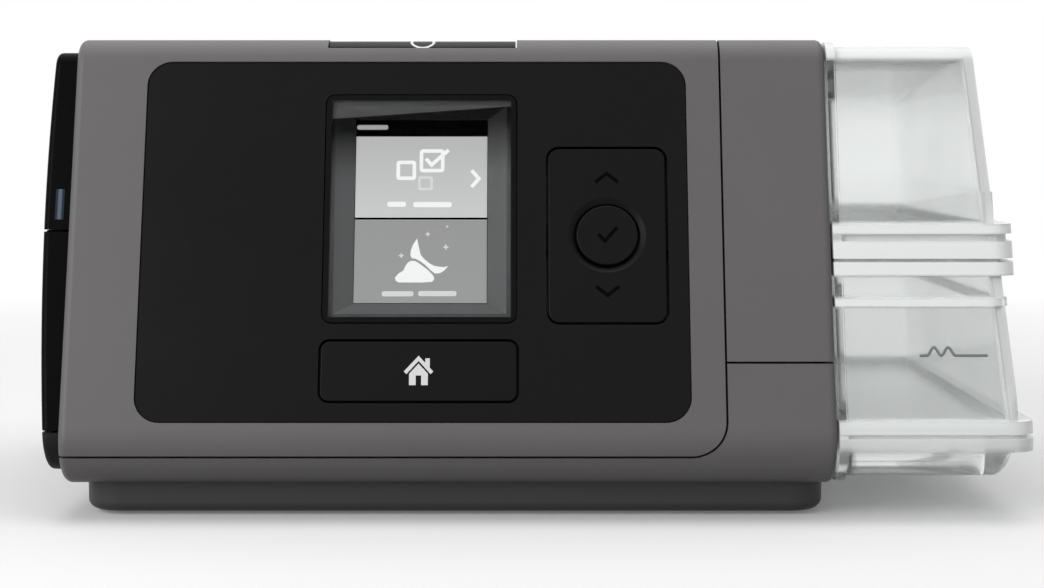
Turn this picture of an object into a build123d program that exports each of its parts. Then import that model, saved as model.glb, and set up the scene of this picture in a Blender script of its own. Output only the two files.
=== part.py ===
from build123d import *
import os
from math import cos, radians, sin, tan

os.makedirs("parts", exist_ok=True)

# A bedside CPAP machine with a heated humidifier and a removable water tub.
# X runs along the front with the tub on the right, the front looks along -Y and Z is up.
# The origin is on the table, under the middle of the whole machine. Sizes are in mm.

# ---------------------------------------------------------------- housing
HEIGHT = 108.3              # table to crest
HOUSING_LENGTH = 173.2      # left end wall to the end where the tub goes in
SIDE_BULGE = 6.3            # side panels beyond the left end wall
TUB_REACH = 45.1            # tub hinge beyond the right end wall
BODY_DEPTH = 135.0          # foremost line of the nose to the back wall
OUTLET_REACH = 15.0         # hose outlet beyond the back wall
CASE_BOTTOM = 7.9           # table to the underside of the case
LEAN = 18.0                 # front face back from the vertical, degrees
TOP_FALL = 6.5              # top face down towards the back, degrees
NOSE_R = 10.0
CREST_R = 7.0
BACK_TOP_R = 10.0
BACK_LOW_R = 6.0
LEAST_R = 0.4               # inner corners are never sharper
END_R = 1.8                 # rounding of the two end loops
WALL = 2.2
SEAM = 0.5                  # visible groove between housing shells
FIT = 0.3                   # gap all round a loose fit
RUN = 0.05                  # radial gap of a pin or shaft in its hole
HUMIDIFIER_WIDTH = 24.5     # humidifier cover along X
COVER_SEAM_Z = 14.9         # lower edge of the main cover
HUMIDIFIER_SEAM_Z = 35.5    # lower edge of the humidifier cover
SEAM_CORNER_R = 8.0

# ---------------------------------------------------------------- plinth, feet and screws
FOOT_PROUD = 0.8
FOOT_LENGTH = 20.0
FOOT_WIDTH = 10.0
FOOT_THICK = 2.0
FOOT_INSET = 14.0           # foot centre from the plinth's sides
PLINTH_LEFT_IN = 3.4
PLINTH_RIGHT_IN = 1.2
PLINTH_FRONT_IN = 10.0
PLINTH_BACK_IN = 6.0
PLINTH_CORNER_R = 8.0
PLINTH_EDGE_R = 2.4
PLINTH_FLOOR = 2.6
SCREW_R = 1.5
SCREW_HEAD_R = 2.9
SCREW_HEAD_H = 1.8
SCREW_BITE = 4.0            # thread above the case floor
SCREW_INSET = 34.0          # screw centre from the plinth's ends
SCREW_Y_INSET = 9.0         # and from its front and back
BOSS_WALL = 2.0

# ---------------------------------------------------------------- front panel, measured up the face
PANEL_LEFT_IN = 17.0        # panel edge from the left end wall
PANEL_RIGHT_IN = 8.1        # panel edge from the main cover's seam
PANEL_LOW = 24.0
PANEL_TOP_IN = 0.7          # panel edge below the face's upper end
PANEL_R = 5.5
PANEL_SUNK = 0.2
PANEL_THICK = 2.2
LEDGE_WIDTH = 2.6
LEDGE_THICK = 1.4
SCREEN_TOP_IN = 7.9         # screen frame below the panel's upper edge
SCREEN_LOW_GAP = 4.25       # and above the home key
SCREEN_WIDTH = 43.5
SCREEN_R = 2.0
SCREEN_RIM = 1.2
VIEW_SIDE_IN = 6.5          # display opening inside the frame's sides
VIEW_TOP_IN = 4.95          # and inside its top and bottom
BEZEL_DEPTH = 3.4
BEZEL_LAND = 0.4            # straight edge behind the bezel's slope
BEZEL_FLANGE = 1.0
GLASS_THICK = 1.0
GLASS_SEAT = 1.0
DISPLAY_MARGIN = 2.5
HOME_WIDTH = 44.0
HOME_TALL = 13.7
HOME_LOW_IN = 4.65          # home key above the panel's lower edge
HOME_R = 2.0
PAD_RIGHT_IN = 4.8          # key pad inside the panel's right edge
PAD_GAP = 7.0               # home key to key pad
PAD_DROP = 6.4              # key pad centre below the screen's
PAD_WIDTH = 26.8
PAD_TALL = 40.9
PAD_R = 2.6
OK_R = 7.0
OK_FLANGE_THICK = 0.3
OK_DISH_R = 8.8
OK_DISH_DEPTH = 0.8
KEY_GAP = 0.45
KEY_SUNK = 0.3
KEY_BODY = 2.6
KEY_FLANGE = 1.2
KEY_FLANGE_THICK = 0.9
KEY_TRAVEL = 0.6
KEY_EDGE_R = 0.4
LUG_TALL = 6.0              # side lugs that the rocker tilts on
PLUNGER_R = 2.0
PLUNGER_STEP = 13.0         # rocker plungers above and below the middle
PLUNGER_GAP = 0.1           # left to the dome at full travel
MEMBRANE_THICK = 0.8
MEMBRANE_IN = 3.4           # membrane edge inside the key pad's edge
DOME_R = 3.0
DOME_H = 0.9
BOARD_DEPTH = 6.6           # front of the interface board behind the face
BOARD_THICK = 1.6
BOARD_MARGIN = 3.0
POST_INSET = 3.0            # board posts from the board's ends
MAIN_BOARD_DEPTH = 14.5
MAIN_BOARD_WING_LOW = 50.0
MAIN_BOARD_LEFT_IN = 8.0
BOARD_SCREW_R = 1.1
BOARD_SCREW_BITE = 2.4
BOARD_HEAD_R = 2.0
BOARD_HEAD_H = 1.2
SPACER_R = 2.5
RIBBON_WIDTH = 14.0
RIBBON_THICK = 0.4
RIBBON_DROP = 4.0           # below the boards' upper edge

# ---------------------------------------------------------------- start button in the crest
START_WIDTH = 43.2
START_DROP = 2.0            # notch floor below the crest
START_SUNK = 0.3            # button top below the crest
START_SLOT_FRONT = 4.2      # button ahead of the crest line
START_SLOT_BACK = 13.0      # and behind it
START_BODY = 6.0            # button height below the crest
START_TAB = 2.0
START_TAB_DROP = 3.1
START_TAB_FRONT = 1.5       # tabs ahead of the crest line
START_TAB_SPAN = 6.0
START_TRAVEL = 1.0
SWITCH_R = 3.0
SWITCH_H = 1.2
SWITCH_BOARD_WIDTH = 12.0
SWITCH_BACK = 4.0           # switch behind the crest line
START_POST_OUT = 4.0        # switch board's posts beyond the button's ends
POST_R = 2.0

# ---------------------------------------------------------------- left side panels
SIDE_IN = 3.0               # outline inside the housing's outline
SIDE_FULL_Z = 72.0          # height of the fullest line
SIDE_CROWN_R = 650.0
SIDE_SEAM_Z = 64.4
SIDE_FOOT_Z = 20.2
SIDE_EDGE_R = 1.4
SIDE_HOLLOW = 2.0
SIDE_WALL = 2.0
SIDE_TONGUE_IN = 0.8        # seam tongue behind the panels' skin
SIDE_TONGUE_GAP = 0.15      # and below the next panel
LIGHT_LOW_Z = 67.7
LIGHT_TALL = 7.2
LIGHT_WIDTH = 2.0
LIGHT_IN = 2.7              # light centre out from the left end wall
LIGHT_DEEP = 3.0
DOOR_THICK = 2.4            # memory card door
DOOR_WIDTH = 30.0
DOOR_TALL = 15.0
DOOR_LOW_Z = 27.0
DOOR_Y = -41.0
DOOR_PIN_R = 0.6
DOOR_PIN_SEAT = 2.0
CARD_WIDTH = 24.0
CARD_LENGTH = 32.0
CARD_THICK = 2.1
CARD_CORNER = 4.2
CARD_RISE = 1.0             # card above the middle of its door
CARD_PROUD = 1.2            # card end outside the end wall
CARD_PUSH = 1.0
READER_WALL = 1.4

# ---------------------------------------------------------------- humidifier bay
BAY_FRONT = 23.0            # bay walls inside the housing's four outer planes
BAY_TOP = 8.0
BAY_BACK = 9.0
BAY_LIFT = 6.6
BAY_R = 6.0
BAY_WALL = 1.8
BAY_LEFT_IN = 78.2          # bay's end wall from the left end wall
BAY_LIP = 2.5
BAY_LIP_THICK = 2.0
BAY_RIB = 2.0
BAY_RIB_Y = 38.0
PORT_R = 6.5
PORT_Z = 69.0
PORT_OUT_Y = 30.0
SEAL_WALL = 2.4
SEAL_PROUD = 1.3
SEAL_BACK = 1.0
HEATER_LENGTH = 62.0
HEATER_WIDTH = 54.0
HEATER_IN = 5.0             # heater end from the bay's mouth
HEATER_THICK = 3.0
HEATER_PROUD = 0.5
HEATER_R = 8.0
HEATER_RIM = 3.0
HEATER_RIM_THICK = 1.4
HEATER_POST_IN = 10.0       # its posts inside its sides
INSULATION_THICK = 1.0

# ---------------------------------------------------------------- water tub
TUB_GAP = 0.8               # round the tub in the bay
TUB_END_GAP = 1.6           # tub end to the bay's end wall
TUB_WALL = 2.0
HEAD_GAP = 0.4              # tub head to the housing's end wall
HEAD_IN = 1.6               # tub head inside the housing's outline
RIM_THICK = 2.0
RIM_IN = 0.5
HEAD_LOW_IN = 4.3           # tub end wall inside the hinge's outer side, at the ledge
HEAD_TOP_IN = 10.9          # and at the crest
SKIRT_IN = 7.6              # and at the bottom of the skirt
HEAD_EDGE_R = 2.5
SKIRT_WALL = 2.0
SKIRT_CORNER_R = 4.0
CHAMBER_FLOOR_Z = 20.8
LEDGE_TOP_Z = 22.7
LEDGE_GROOVE_HIGH_Z = 19.9
LEDGE_GROOVE_LOW_Z = 19.0
LEDGE_LOW_Z = 16.0
LEDGE_END_IN = 0.7          # ledge inside the hinge's outer side
LEDGE_IN = 0.3              # flanges inside the housing's outline
PART_Z = 57.9               # joint of base and lid
SEAL_THICK = 0.8
SEAL_IN = 0.4
STEP_TOP_Z = 73.2           # shallow step above the lid's flange
STEP_IN = 1.0
STEP_END_IN = 6.9
FLANGE_TOP_Z = 66.0
FLANGE_GROOVE_HIGH_Z = 63.8
FLANGE_GROOVE_LOW_Z = 62.1
FLANGE_LOW_Z = 54.5
FLANGE_END_IN = 3.0
BEAD_HIGH_Z = 49.5          # bead under the base's flange
BEAD_LOW_Z = 47.7
BEAD_END_IN = 4.9
FLANGE_CORNER_R = 5.5
HINGE_R = 3.0
HINGE_RISE = 2.2            # hinge axis above the joint
HINGE_PIN_R = 1.1
HINGE_SPAN = 66.0
HINGE_PARTS = 5
TUB_PLATE_THICK = 1.2
TUB_PLATE_RIM = 3.0
BAFFLE_THICK = 1.6
BAFFLE_LENGTH = 60.0
BAFFLE_LIFT = 4.0

# ---------------------------------------------------------------- blower and air path
BLOWER_X_IN = 32.5          # blower axis from the left end wall
BLOWER_Y = 6.0
BLOWER_LOW_Z = 22.0
BLOWER_DECK_Z = 42.0        # top of the deck under the wheel
BLOWER_TOP_Z = 58.0
BLOWER_WALL = 1.8
DECK_THICK = 2.0
CAN_R = 19.0                # motor can under the deck
CAP_THICK = 2.0
SCROLL_R = 22.5
SCROLL_GROWTH = 1.0         # each quarter turn
SCROLL_STUB = 3.0
EYE_R = 9.0
WHEEL_R = 19.5
WHEEL_HUB_R = 6.0
WHEEL_DISC = 1.2
WHEEL_H = 8.0
WHEEL_GAP = 1.2
BLADES = 11
BLADE_THICK = 0.9
BLADE_BULGE = 2.2
BLADE_SWEEP = 40.0          # how far a blade's tip trails its root, degrees
SHAFT_R = 2.0
SHAFT_NOSE = 1.0
BEARING_R = 5.0
BEARING_H = 3.0
BOSS_HEIGHT = 4.0
MAGNET_R = 7.5
MAGNET_H = 7.0
STATOR_GAP = 0.5
STATOR_H = 7.0
STATOR_LOW_Z = 28.5
STATOR_TEETH = 6
TOOTH_WIDTH = 4.0
YOKE_WALL = 2.5
MOUNT_R = 4.0
MOUNT_RING_R = 13.0
MOUNT_H = 6.0
MOUNTS = 3
SLEEVE_WALL = 2.5
DUCT_WALL = 1.2
DUCT_BEND_R = 9.0
MUFFLER_LOW_Z = 61.0
MUFFLER_TALL = 22.5
MUFFLER_RIGHT_IN = 48.0     # muffler's right wall from the left end wall
MUFFLER_LEFT_IN = 3.4
MUFFLER_FRONT_Y = -16.0
MUFFLER_WALL = 1.8
MUFFLER_R = 4.0
FILTER_WIDTH = 40.0         # filter door
FILTER_TALL = 20.0
FILTER_X_IN = 26.0
FILTER_RISE = 11.25         # door's middle above the muffler's floor
FILTER_THICK = 5.0
FILTER_FRAME = 2.0
LOUVRE_PITCH = 3.2
LOUVRE_TALL = 1.8
OUTLET_R = 11.0
OUTLET_BORE_R = 9.0
OUTLET_X_OUT = 15.2         # outlet axis left of the bay's end wall
OUTLET_SPIGOT = 9.0
OUTLET_COLLAR_R = 13.0
OUTLET_COLLAR = 2.5
ELBOW_WALL = 1.4
ELBOW_R = 13.0
SOCKET_CUP_WALL = 1.8
O_RING = 1.0

# ---------------------------------------------------------------- power socket and its clip
SOCKET_Z = 30.0
SOCKET_WIDTH = 16.0
SOCKET_TALL = 12.0
SOCKET_LONG = 14.0
SOCKET_RECESS = 11.0
SOCKET_WALL = 1.6
SOCKET_FRAME = 2.0
SOCKET_FRAME_THICK = 1.0
SOCKET_PINS = 3
SOCKET_PIN_R = 0.9
SOCKET_PIN_LONG = 6.0
SOCKET_PIN_STEP = 4.0
CLIP_RISE = 13.0            # clip axis above the socket's middle
CLIP_OUT = 2.6              # clip axis behind the back wall
CLIP_EYE_R = 2.0
CLIP_PIN_R = 0.8
CLIP_SPAN = 20.0
CLIP_ARM = 3.0
CLIP_BAR = 2.2
CLIP_LONG = 18.0
EAR_THICK = 2.5

# ---------------------------------------------------------------- worked-out places
COS_LEAN = cos(radians(LEAN))
SIN_LEAN = sin(radians(LEAN))
TAN_LEAN = tan(radians(LEAN))
COS_TOP = cos(radians(TOP_FALL))
TAN_TOP = tan(radians(TOP_FALL))
TOTAL_LENGTH = SIDE_BULGE + HOUSING_LENGTH + TUB_REACH
TOTAL_DEPTH = BODY_DEPTH + OUTLET_REACH
LEFT_X = SIDE_BULGE - TOTAL_LENGTH / 2
RIGHT_X = LEFT_X + HOUSING_LENGTH
SPLIT_X = RIGHT_X - HUMIDIFIER_WIDTH
FRONT_Y = -TOTAL_DEPTH / 2
BACK_Y = FRONT_Y + BODY_DEPTH
FACE_Y = FRONT_Y + NOSE_R - NOSE_R / COS_LEAN - (CASE_BOTTOM + NOSE_R) * TAN_LEAN
CREST_Z = HEIGHT - CREST_R
CREST_Y = FACE_Y + CREST_Z * TAN_LEAN + CREST_R / COS_LEAN
TOP_Z = CREST_Z + CREST_R / COS_TOP + CREST_Y * TAN_TOP      # top plane where y is 0
FLOOR_Z = CASE_BOTTOM + WALL
THROUGH = 2 * TOTAL_DEPTH

PANEL_LEFT = LEFT_X + PANEL_LEFT_IN
PANEL_RIGHT = SPLIT_X - PANEL_RIGHT_IN
PANEL_X = (PANEL_LEFT + PANEL_RIGHT) / 2
PANEL_WIDTH = PANEL_RIGHT - PANEL_LEFT
FACE_TALL = (CREST_Z + CREST_R * SIN_LEAN) / COS_LEAN
PANEL_HIGH = FACE_TALL - PANEL_TOP_IN
PANEL_TALL = PANEL_HIGH - PANEL_LOW
PANEL_V = (PANEL_LOW + PANEL_HIGH) / 2
PANEL_BACK = PANEL_SUNK + PANEL_THICK
HOME_V = PANEL_LOW + HOME_LOW_IN + HOME_TALL / 2
SCREEN_LOW = HOME_V + HOME_TALL / 2 + SCREEN_LOW_GAP
SCREEN_HIGH = PANEL_HIGH - SCREEN_TOP_IN
SCREEN_TALL = SCREEN_HIGH - SCREEN_LOW
PAD_X = PANEL_RIGHT - PAD_RIGHT_IN - PAD_WIDTH / 2
SCREEN_X = PAD_X - PAD_WIDTH / 2 - PAD_GAP - HOME_WIDTH / 2
SCREEN_V = (SCREEN_LOW + SCREEN_HIGH) / 2
VIEW_WIDTH = SCREEN_WIDTH - 2 * VIEW_SIDE_IN
VIEW_TALL = SCREEN_TALL - 2 * VIEW_TOP_IN
PAD_V = SCREEN_V - PAD_DROP
KEY_BACK = KEY_SUNK + KEY_BODY
FLANGE_FRONT = PANEL_BACK + FIT / 2
LUG_BACK = PANEL_BACK + FIT + KEY_FLANGE_THICK
MEMBRANE_DEPTH = BOARD_DEPTH - MEMBRANE_THICK
DOME_DEPTH = MEMBRANE_DEPTH - DOME_H
STEM_DEPTH = DOME_DEPTH - KEY_TRAVEL - PLUNGER_GAP
BOARD_BACK = BOARD_DEPTH + BOARD_THICK
BOARD_LEFT = SCREEN_X - HOME_WIDTH / 2 - BOARD_MARGIN - 2 * POST_R
BOARD_RIGHT = PAD_X + PAD_WIDTH / 2 + POST_R
BOARD_LOW = HOME_V - HOME_TALL / 2 - BOARD_MARGIN
BOARD_HIGH = SCREEN_HIGH - BOARD_MARGIN
post_spots = [
    (x, y)
    for x in (BOARD_LEFT + POST_INSET, BOARD_RIGHT - POST_INSET)
    for y in (BOARD_LOW + 2 * POST_R, BOARD_HIGH - 2 * POST_R)
]

START_LEFT = SCREEN_X - START_WIDTH / 2
START_RIGHT = SCREEN_X + START_WIDTH / 2
START_FRONT_Y = CREST_Y - START_SLOT_FRONT
START_BACK_Y = CREST_Y + START_SLOT_BACK
START_LOW_Z = HEIGHT - START_BODY
SWITCH_TOP_Z = START_LOW_Z - START_TRAVEL - FIT
SWITCH_BOARD_Z = SWITCH_TOP_Z - SWITCH_H - BOARD_THICK
SWITCH_Y = CREST_Y + SWITCH_BACK

CARD_Z = DOOR_LOW_Z + DOOR_TALL / 2 + CARD_RISE
DOOR_AXIS_Z = DOOR_LOW_Z + DOOR_THICK / 2

BAY_LEFT = LEFT_X + BAY_LEFT_IN
BAY_FLOOR_Z = CASE_BOTTOM + BAY_LIFT + BAY_WALL
HEATER_X = RIGHT_X - WALL - BAY_LIP_THICK - HEATER_IN - HEATER_LENGTH / 2
HEATER_TOP_Z = BAY_FLOOR_Z + HEATER_PROUD
HEATER_RIM_LOW_Z = BAY_FLOOR_Z - BAY_WALL - HEATER_RIM_THICK
INSULATION_LOW_Z = HEATER_RIM_LOW_Z - INSULATION_THICK
TUB_LEFT = BAY_LEFT + BAY_WALL + TUB_END_GAP
TUB_LOW_Z = BAY_FLOOR_Z + TUB_GAP
TUB_END_X = RIGHT_X + TUB_REACH
HINGE_X = TUB_END_X - HINGE_R
HINGE_Z = PART_Z + HINGE_RISE

BLOWER_X = LEFT_X + BLOWER_X_IN
SCROLL_RADII = [SCROLL_R + turn * SCROLL_GROWTH for turn in (1, 2, 3)]
SCROLL_FRONT = SCROLL_RADII[1] + SCROLL_RADII[2] - SCROLL_RADII[0]
SCROLL_RIGHT_X = BLOWER_X + SCROLL_R
PORT_IN_Y = BLOWER_Y - SCROLL_FRONT + PORT_R + DUCT_WALL
STUB_Z = (BLOWER_DECK_Z + BLOWER_TOP_Z) / 2
FILTER_X = LEFT_X + FILTER_X_IN
FILTER_Z = MUFFLER_LOW_Z + FILTER_RISE
LOUVRES = int(FILTER_TALL / LOUVRE_PITCH) - 1
FILTER_AXIS_X = FILTER_X - FILTER_WIDTH / 2 + WALL / 2
OUTLET_X = BAY_LEFT - OUTLET_X_OUT
CLIP_Z = SOCKET_Z + CLIP_RISE
CLIP_Y = BACK_Y + CLIP_OUT

# Local axes of the leaning face: x is along X, y is up the face, the normal points out.
FACE = Plane(origin=(0, FACE_Y, 0), x_dir=(1, 0, 0), z_dir=(0, -COS_LEAN, SIN_LEAN))


# ---------------------------------------------------------------- shared outlines
def section(front, top, back, bottom, radii):
    """Side outline of the housing with each of its four sides moved in by its own amount."""
    low_z = CASE_BOTTOM + bottom
    front_y = FACE_Y + front / COS_LEAN
    top_z = TOP_Z - top / COS_TOP
    crest_z = (top_z - TAN_TOP * front_y) / (1 + TAN_LEAN * TAN_TOP)
    back_y = BACK_Y - back
    corners = [
        (front_y + low_z * TAN_LEAN, low_z),
        (front_y + crest_z * TAN_LEAN, crest_z),
        (back_y, top_z - back_y * TAN_TOP),
        (back_y, low_z),
    ]
    with BuildSketch() as outline:
        with BuildLine():
            FilletPolyline(*corners, radius=radii, close=True)
        make_face()
    return outline.sketch


def housing_section(inset):
    """Side outline of the housing at an equal distance inside its skin."""
    radii = [max(r - inset, LEAST_R) for r in (NOSE_R, CREST_R, BACK_TOP_R, BACK_LOW_R)]
    return section(inset, inset, inset, inset, radii)


def bay_section(inset):
    """Side outline of the humidifier bay, or of what fits in it."""
    sides = [side + inset for side in (BAY_FRONT, BAY_TOP, BAY_BACK, BAY_LIFT)]
    return section(*sides, [max(BAY_R - inset, LEAST_R)] * 4)


def rectangle(left, right, low, high, radius=0.0):
    """A rectangle by its four sides, with rounded corners if a radius is given."""
    with BuildSketch() as outline:
        with Locations(((left + right) / 2, (low + high) / 2)):
            if radius > 0:
                RectangleRounded(right - left, high - low, radius)
            else:
                Rectangle(right - left, high - low)
    return outline.sketch


def plate(x, y, width, tall, radius=0.0):
    """A rectangle by its centre and size, with rounded corners if a radius is given."""
    return rectangle(x - width / 2, x + width / 2, y - tall / 2, y + tall / 2, radius)


def clipped(outline, low_z, high_z):
    """The stretch of a side outline between two heights."""
    with BuildSketch() as stretch:
        add(outline)
        add(rectangle(-THROUGH, THROUGH, low_z, high_z), mode=Mode.INTERSECT)
    return stretch.sketch


# ---------------------------------------------------------------- shared operations
def bar(outline, start_x, end_x, mode=Mode.ADD):
    """Extrude a side outline along X between two stations."""
    with BuildSketch(Plane.YZ.offset(start_x)) as station:
        add(outline)
    extrude(station.sketch, amount=end_x - start_x, mode=mode)


def slab(outline, mode=Mode.INTERSECT):
    """Extrude an outline seen from the front right through the machine."""
    with BuildSketch(Plane.XZ) as front:
        add(outline)
    extrude(front.sketch, amount=THROUGH, both=True, mode=mode)


def from_front(outline, front_y, back_y, mode=Mode.ADD):
    """Extrude an outline seen from the front between two depths."""
    with BuildSketch(Plane.XZ.offset(-front_y)) as sheet:
        add(outline)
    extrude(sheet.sketch, amount=front_y - back_y, mode=mode)


def upright(outline, low_z, high_z, mode=Mode.ADD):
    """Extrude a plan outline between two heights."""
    with BuildSketch(Plane.XY.offset(low_z)) as plan:
        add(outline)
    extrude(plan.sketch, amount=high_z - low_z, mode=mode)


def behind_face(outline, front_depth, back_depth, mode=Mode.ADD):
    """Extrude an outline drawn on the leaning face between two depths behind it."""
    with BuildSketch(FACE.offset(-front_depth)) as sheet:
        add(outline)
    extrude(sheet.sketch, amount=front_depth - back_depth, mode=mode)


def rod(plane, x, y, radius, length, mode=Mode.ADD):
    """A round bar that starts on a plane and runs along its normal."""
    with BuildSketch(plane) as end:
        with Locations((x, y)):
            Circle(radius)
    extrude(end.sketch, amount=length, mode=mode)


def pipe(points, bend_r, radius, mode=Mode.ADD):
    """A round bar along straight runs that are joined by square bends."""
    corners = [Vector(*point) for point in points]
    start = corners[0]
    for before, corner, after in zip(corners, corners[1:], corners[2:]):
        along = (corner - before).normalized()
        away = (after - corner).normalized()
        bend_start = corner - along * bend_r
        run_end = Plane(origin=start, z_dir=along)
        rod(run_end, 0, 0, radius, (bend_start - start).length, mode=mode)
        with BuildSketch(Plane(origin=bend_start, z_dir=along)) as end:
            Circle(radius)
        turn = Axis(origin=bend_start + away * bend_r, direction=along.cross(away))
        revolve(end.sketch, axis=turn, revolution_arc=90, mode=mode)
        start = corner + away * bend_r
    last_run = corners[-1] - start
    rod(Plane(origin=start, z_dir=last_run.normalized()), 0, 0, radius, last_run.length, mode=mode)


def write(builder, name):
    """Label a finished piece and write its file."""
    builder.part.label = name
    export_step(builder.part, f"parts/{name}.step")


# ---------------------------------------------------------------- housing shells
with BuildPart() as housing_form:
    bar(housing_section(0), LEFT_X, RIGHT_X)
    fillet(housing_form.faces().filter_by(Axis.X).edges(), END_R)
    bar(housing_section(WALL), LEFT_X + WALL, RIGHT_X - WALL, mode=Mode.SUBTRACT)

cover_corners = [
    (LEFT_X - WALL, COVER_SEAM_Z),
    (SPLIT_X, COVER_SEAM_Z),
    (SPLIT_X, HEIGHT + WALL),
    (LEFT_X - WALL, HEIGHT + WALL),
]
with BuildSketch() as cover_outline:
    with BuildLine():
        FilletPolyline(*cover_corners, radius=[0, SEAM_CORNER_R, 0, 0], close=True)
    make_face()

with BuildSketch() as cover_region:
    add(cover_outline.sketch)
    offset(amount=-SEAM / 2)

with BuildSketch() as lower_region:
    add(rectangle(LEFT_X - WALL, RIGHT_X + WALL, 0, HUMIDIFIER_SEAM_Z - SEAM / 2))
    with BuildSketch(mode=Mode.SUBTRACT):
        add(cover_outline.sketch)
        offset(amount=SEAM / 2)

with BuildPart() as main_cover:
    add(housing_form.part)
    ledge_grow = 2 * LEDGE_WIDTH
    rim = plate(
        PANEL_X, PANEL_V, PANEL_WIDTH + ledge_grow, PANEL_TALL + ledge_grow, PANEL_R + LEDGE_WIDTH
    )
    behind_face(rim, WALL / 2, PANEL_BACK + LEDGE_THICK)
    slab(cover_region.sketch)
    # recess for the panel and the opening inside its ledge
    recess = plate(PANEL_X, PANEL_V, PANEL_WIDTH + 2 * FIT, PANEL_TALL + 2 * FIT, PANEL_R + FIT)
    behind_face(recess, 0, PANEL_BACK, mode=Mode.SUBTRACT)
    opening = plate(
        PANEL_X, PANEL_V, PANEL_WIDTH - ledge_grow, PANEL_TALL - ledge_grow, PANEL_R - LEDGE_WIDTH
    )
    behind_face(opening, 0, PANEL_BACK + 2 * LEDGE_THICK, mode=Mode.SUBTRACT)
    # notch in the crest and the slot of the start button
    notch = rectangle(START_LEFT - FIT, START_RIGHT + FIT, HEIGHT - START_DROP, HEIGHT + WALL)
    from_front(notch, CREST_Y - CREST_R, START_BACK_Y + FIT, mode=Mode.SUBTRACT)
    slot = rectangle(START_LEFT - FIT, START_RIGHT + FIT, CREST_Z, HEIGHT + WALL)
    from_front(slot, START_FRONT_Y - FIT, START_BACK_Y + FIT, mode=Mode.SUBTRACT)
    # posts that carry the start switch
    for post_x in (START_LEFT - START_POST_OUT, START_RIGHT + START_POST_OUT):
        post_top = HEIGHT - WALL / 2 - (SWITCH_Y - CREST_Y) * TAN_TOP
        board_top = SWITCH_BOARD_Z + BOARD_THICK
        rod(Plane.XY.offset(board_top), post_x, SWITCH_Y, POST_R, post_top - board_top)
    # filter door, hose outlet and power socket through the back wall
    door_hole = plate(FILTER_X, FILTER_Z, FILTER_WIDTH + 2 * FIT, FILTER_TALL + 2 * FIT)
    from_front(door_hole, BACK_Y - 2 * WALL, BACK_Y, mode=Mode.SUBTRACT)
    for pin_z in (FILTER_Z - FILTER_TALL / 2, FILTER_Z + FILTER_TALL / 2):
        hinge_low = Plane.XY.offset(pin_z - DOOR_PIN_SEAT)
        rod(hinge_low, FILTER_AXIS_X, BACK_Y - WALL / 2, DOOR_PIN_R, 2 * DOOR_PIN_SEAT, mode=Mode.SUBTRACT)
    rod(Plane.XZ.offset(-BACK_Y), OUTLET_X, PORT_Z, OUTLET_R + FIT, 2 * WALL, mode=Mode.SUBTRACT)
    socket_hole = plate(OUTLET_X, SOCKET_Z, SOCKET_WIDTH + 2 * FIT, SOCKET_TALL + 2 * FIT)
    from_front(socket_hole, BACK_Y - 2 * WALL, BACK_Y, mode=Mode.SUBTRACT)
    # ears of the socket's clip
    ear_start = CLIP_SPAN / 2 + FIT
    for ear_x in (OUTLET_X - ear_start - EAR_THICK, OUTLET_X + ear_start):
        with BuildSketch(Plane.YZ.offset(ear_x)) as ear:
            with Locations((CLIP_Y, CLIP_Z)):
                Circle(CLIP_EYE_R)
            add(rectangle(BACK_Y - WALL / 2, CLIP_Y, CLIP_Z - CLIP_EYE_R, CLIP_Z + CLIP_EYE_R))
            with Locations((CLIP_Y, CLIP_Z)):
                Circle(CLIP_PIN_R, mode=Mode.SUBTRACT)
        extrude(ear.sketch, amount=EAR_THICK)
    # slot for the memory card through the left end wall
    card_slot = plate(DOOR_Y, CARD_Z, CARD_WIDTH + 2 * FIT, CARD_THICK + 2 * FIT)
    bar(card_slot, LEFT_X, LEFT_X + 2 * WALL, mode=Mode.SUBTRACT)
write(main_cover, "main_cover")

with BuildPart() as humidifier_cover:
    add(housing_form.part)
    slab(rectangle(SPLIT_X + SEAM / 2, RIGHT_X, HUMIDIFIER_SEAM_Z + SEAM / 2, HEIGHT))
    bar(bay_section(-FIT), RIGHT_X - 2 * WALL, RIGHT_X, mode=Mode.SUBTRACT)
write(humidifier_cover, "humidifier_cover")

PLINTH_LEFT = LEFT_X + PLINTH_LEFT_IN
PLINTH_RIGHT = RIGHT_X - PLINTH_RIGHT_IN
PLINTH_FRONT = FRONT_Y + PLINTH_FRONT_IN
PLINTH_BACK = BACK_Y - PLINTH_BACK_IN
screw_spots = [
    (x, y)
    for x in (PLINTH_LEFT + SCREW_INSET, PLINTH_RIGHT - SCREW_INSET)
    for y in (PLINTH_FRONT + SCREW_Y_INSET, PLINTH_BACK - SCREW_Y_INSET)
]
foot_spots = [
    (x, y)
    for x in (PLINTH_LEFT + FOOT_INSET, PLINTH_RIGHT - FOOT_INSET)
    for y in (PLINTH_FRONT + FOOT_INSET, PLINTH_BACK - FOOT_INSET)
]
HEAD_SEAT_Z = FOOT_PROUD + PLINTH_FLOOR

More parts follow.
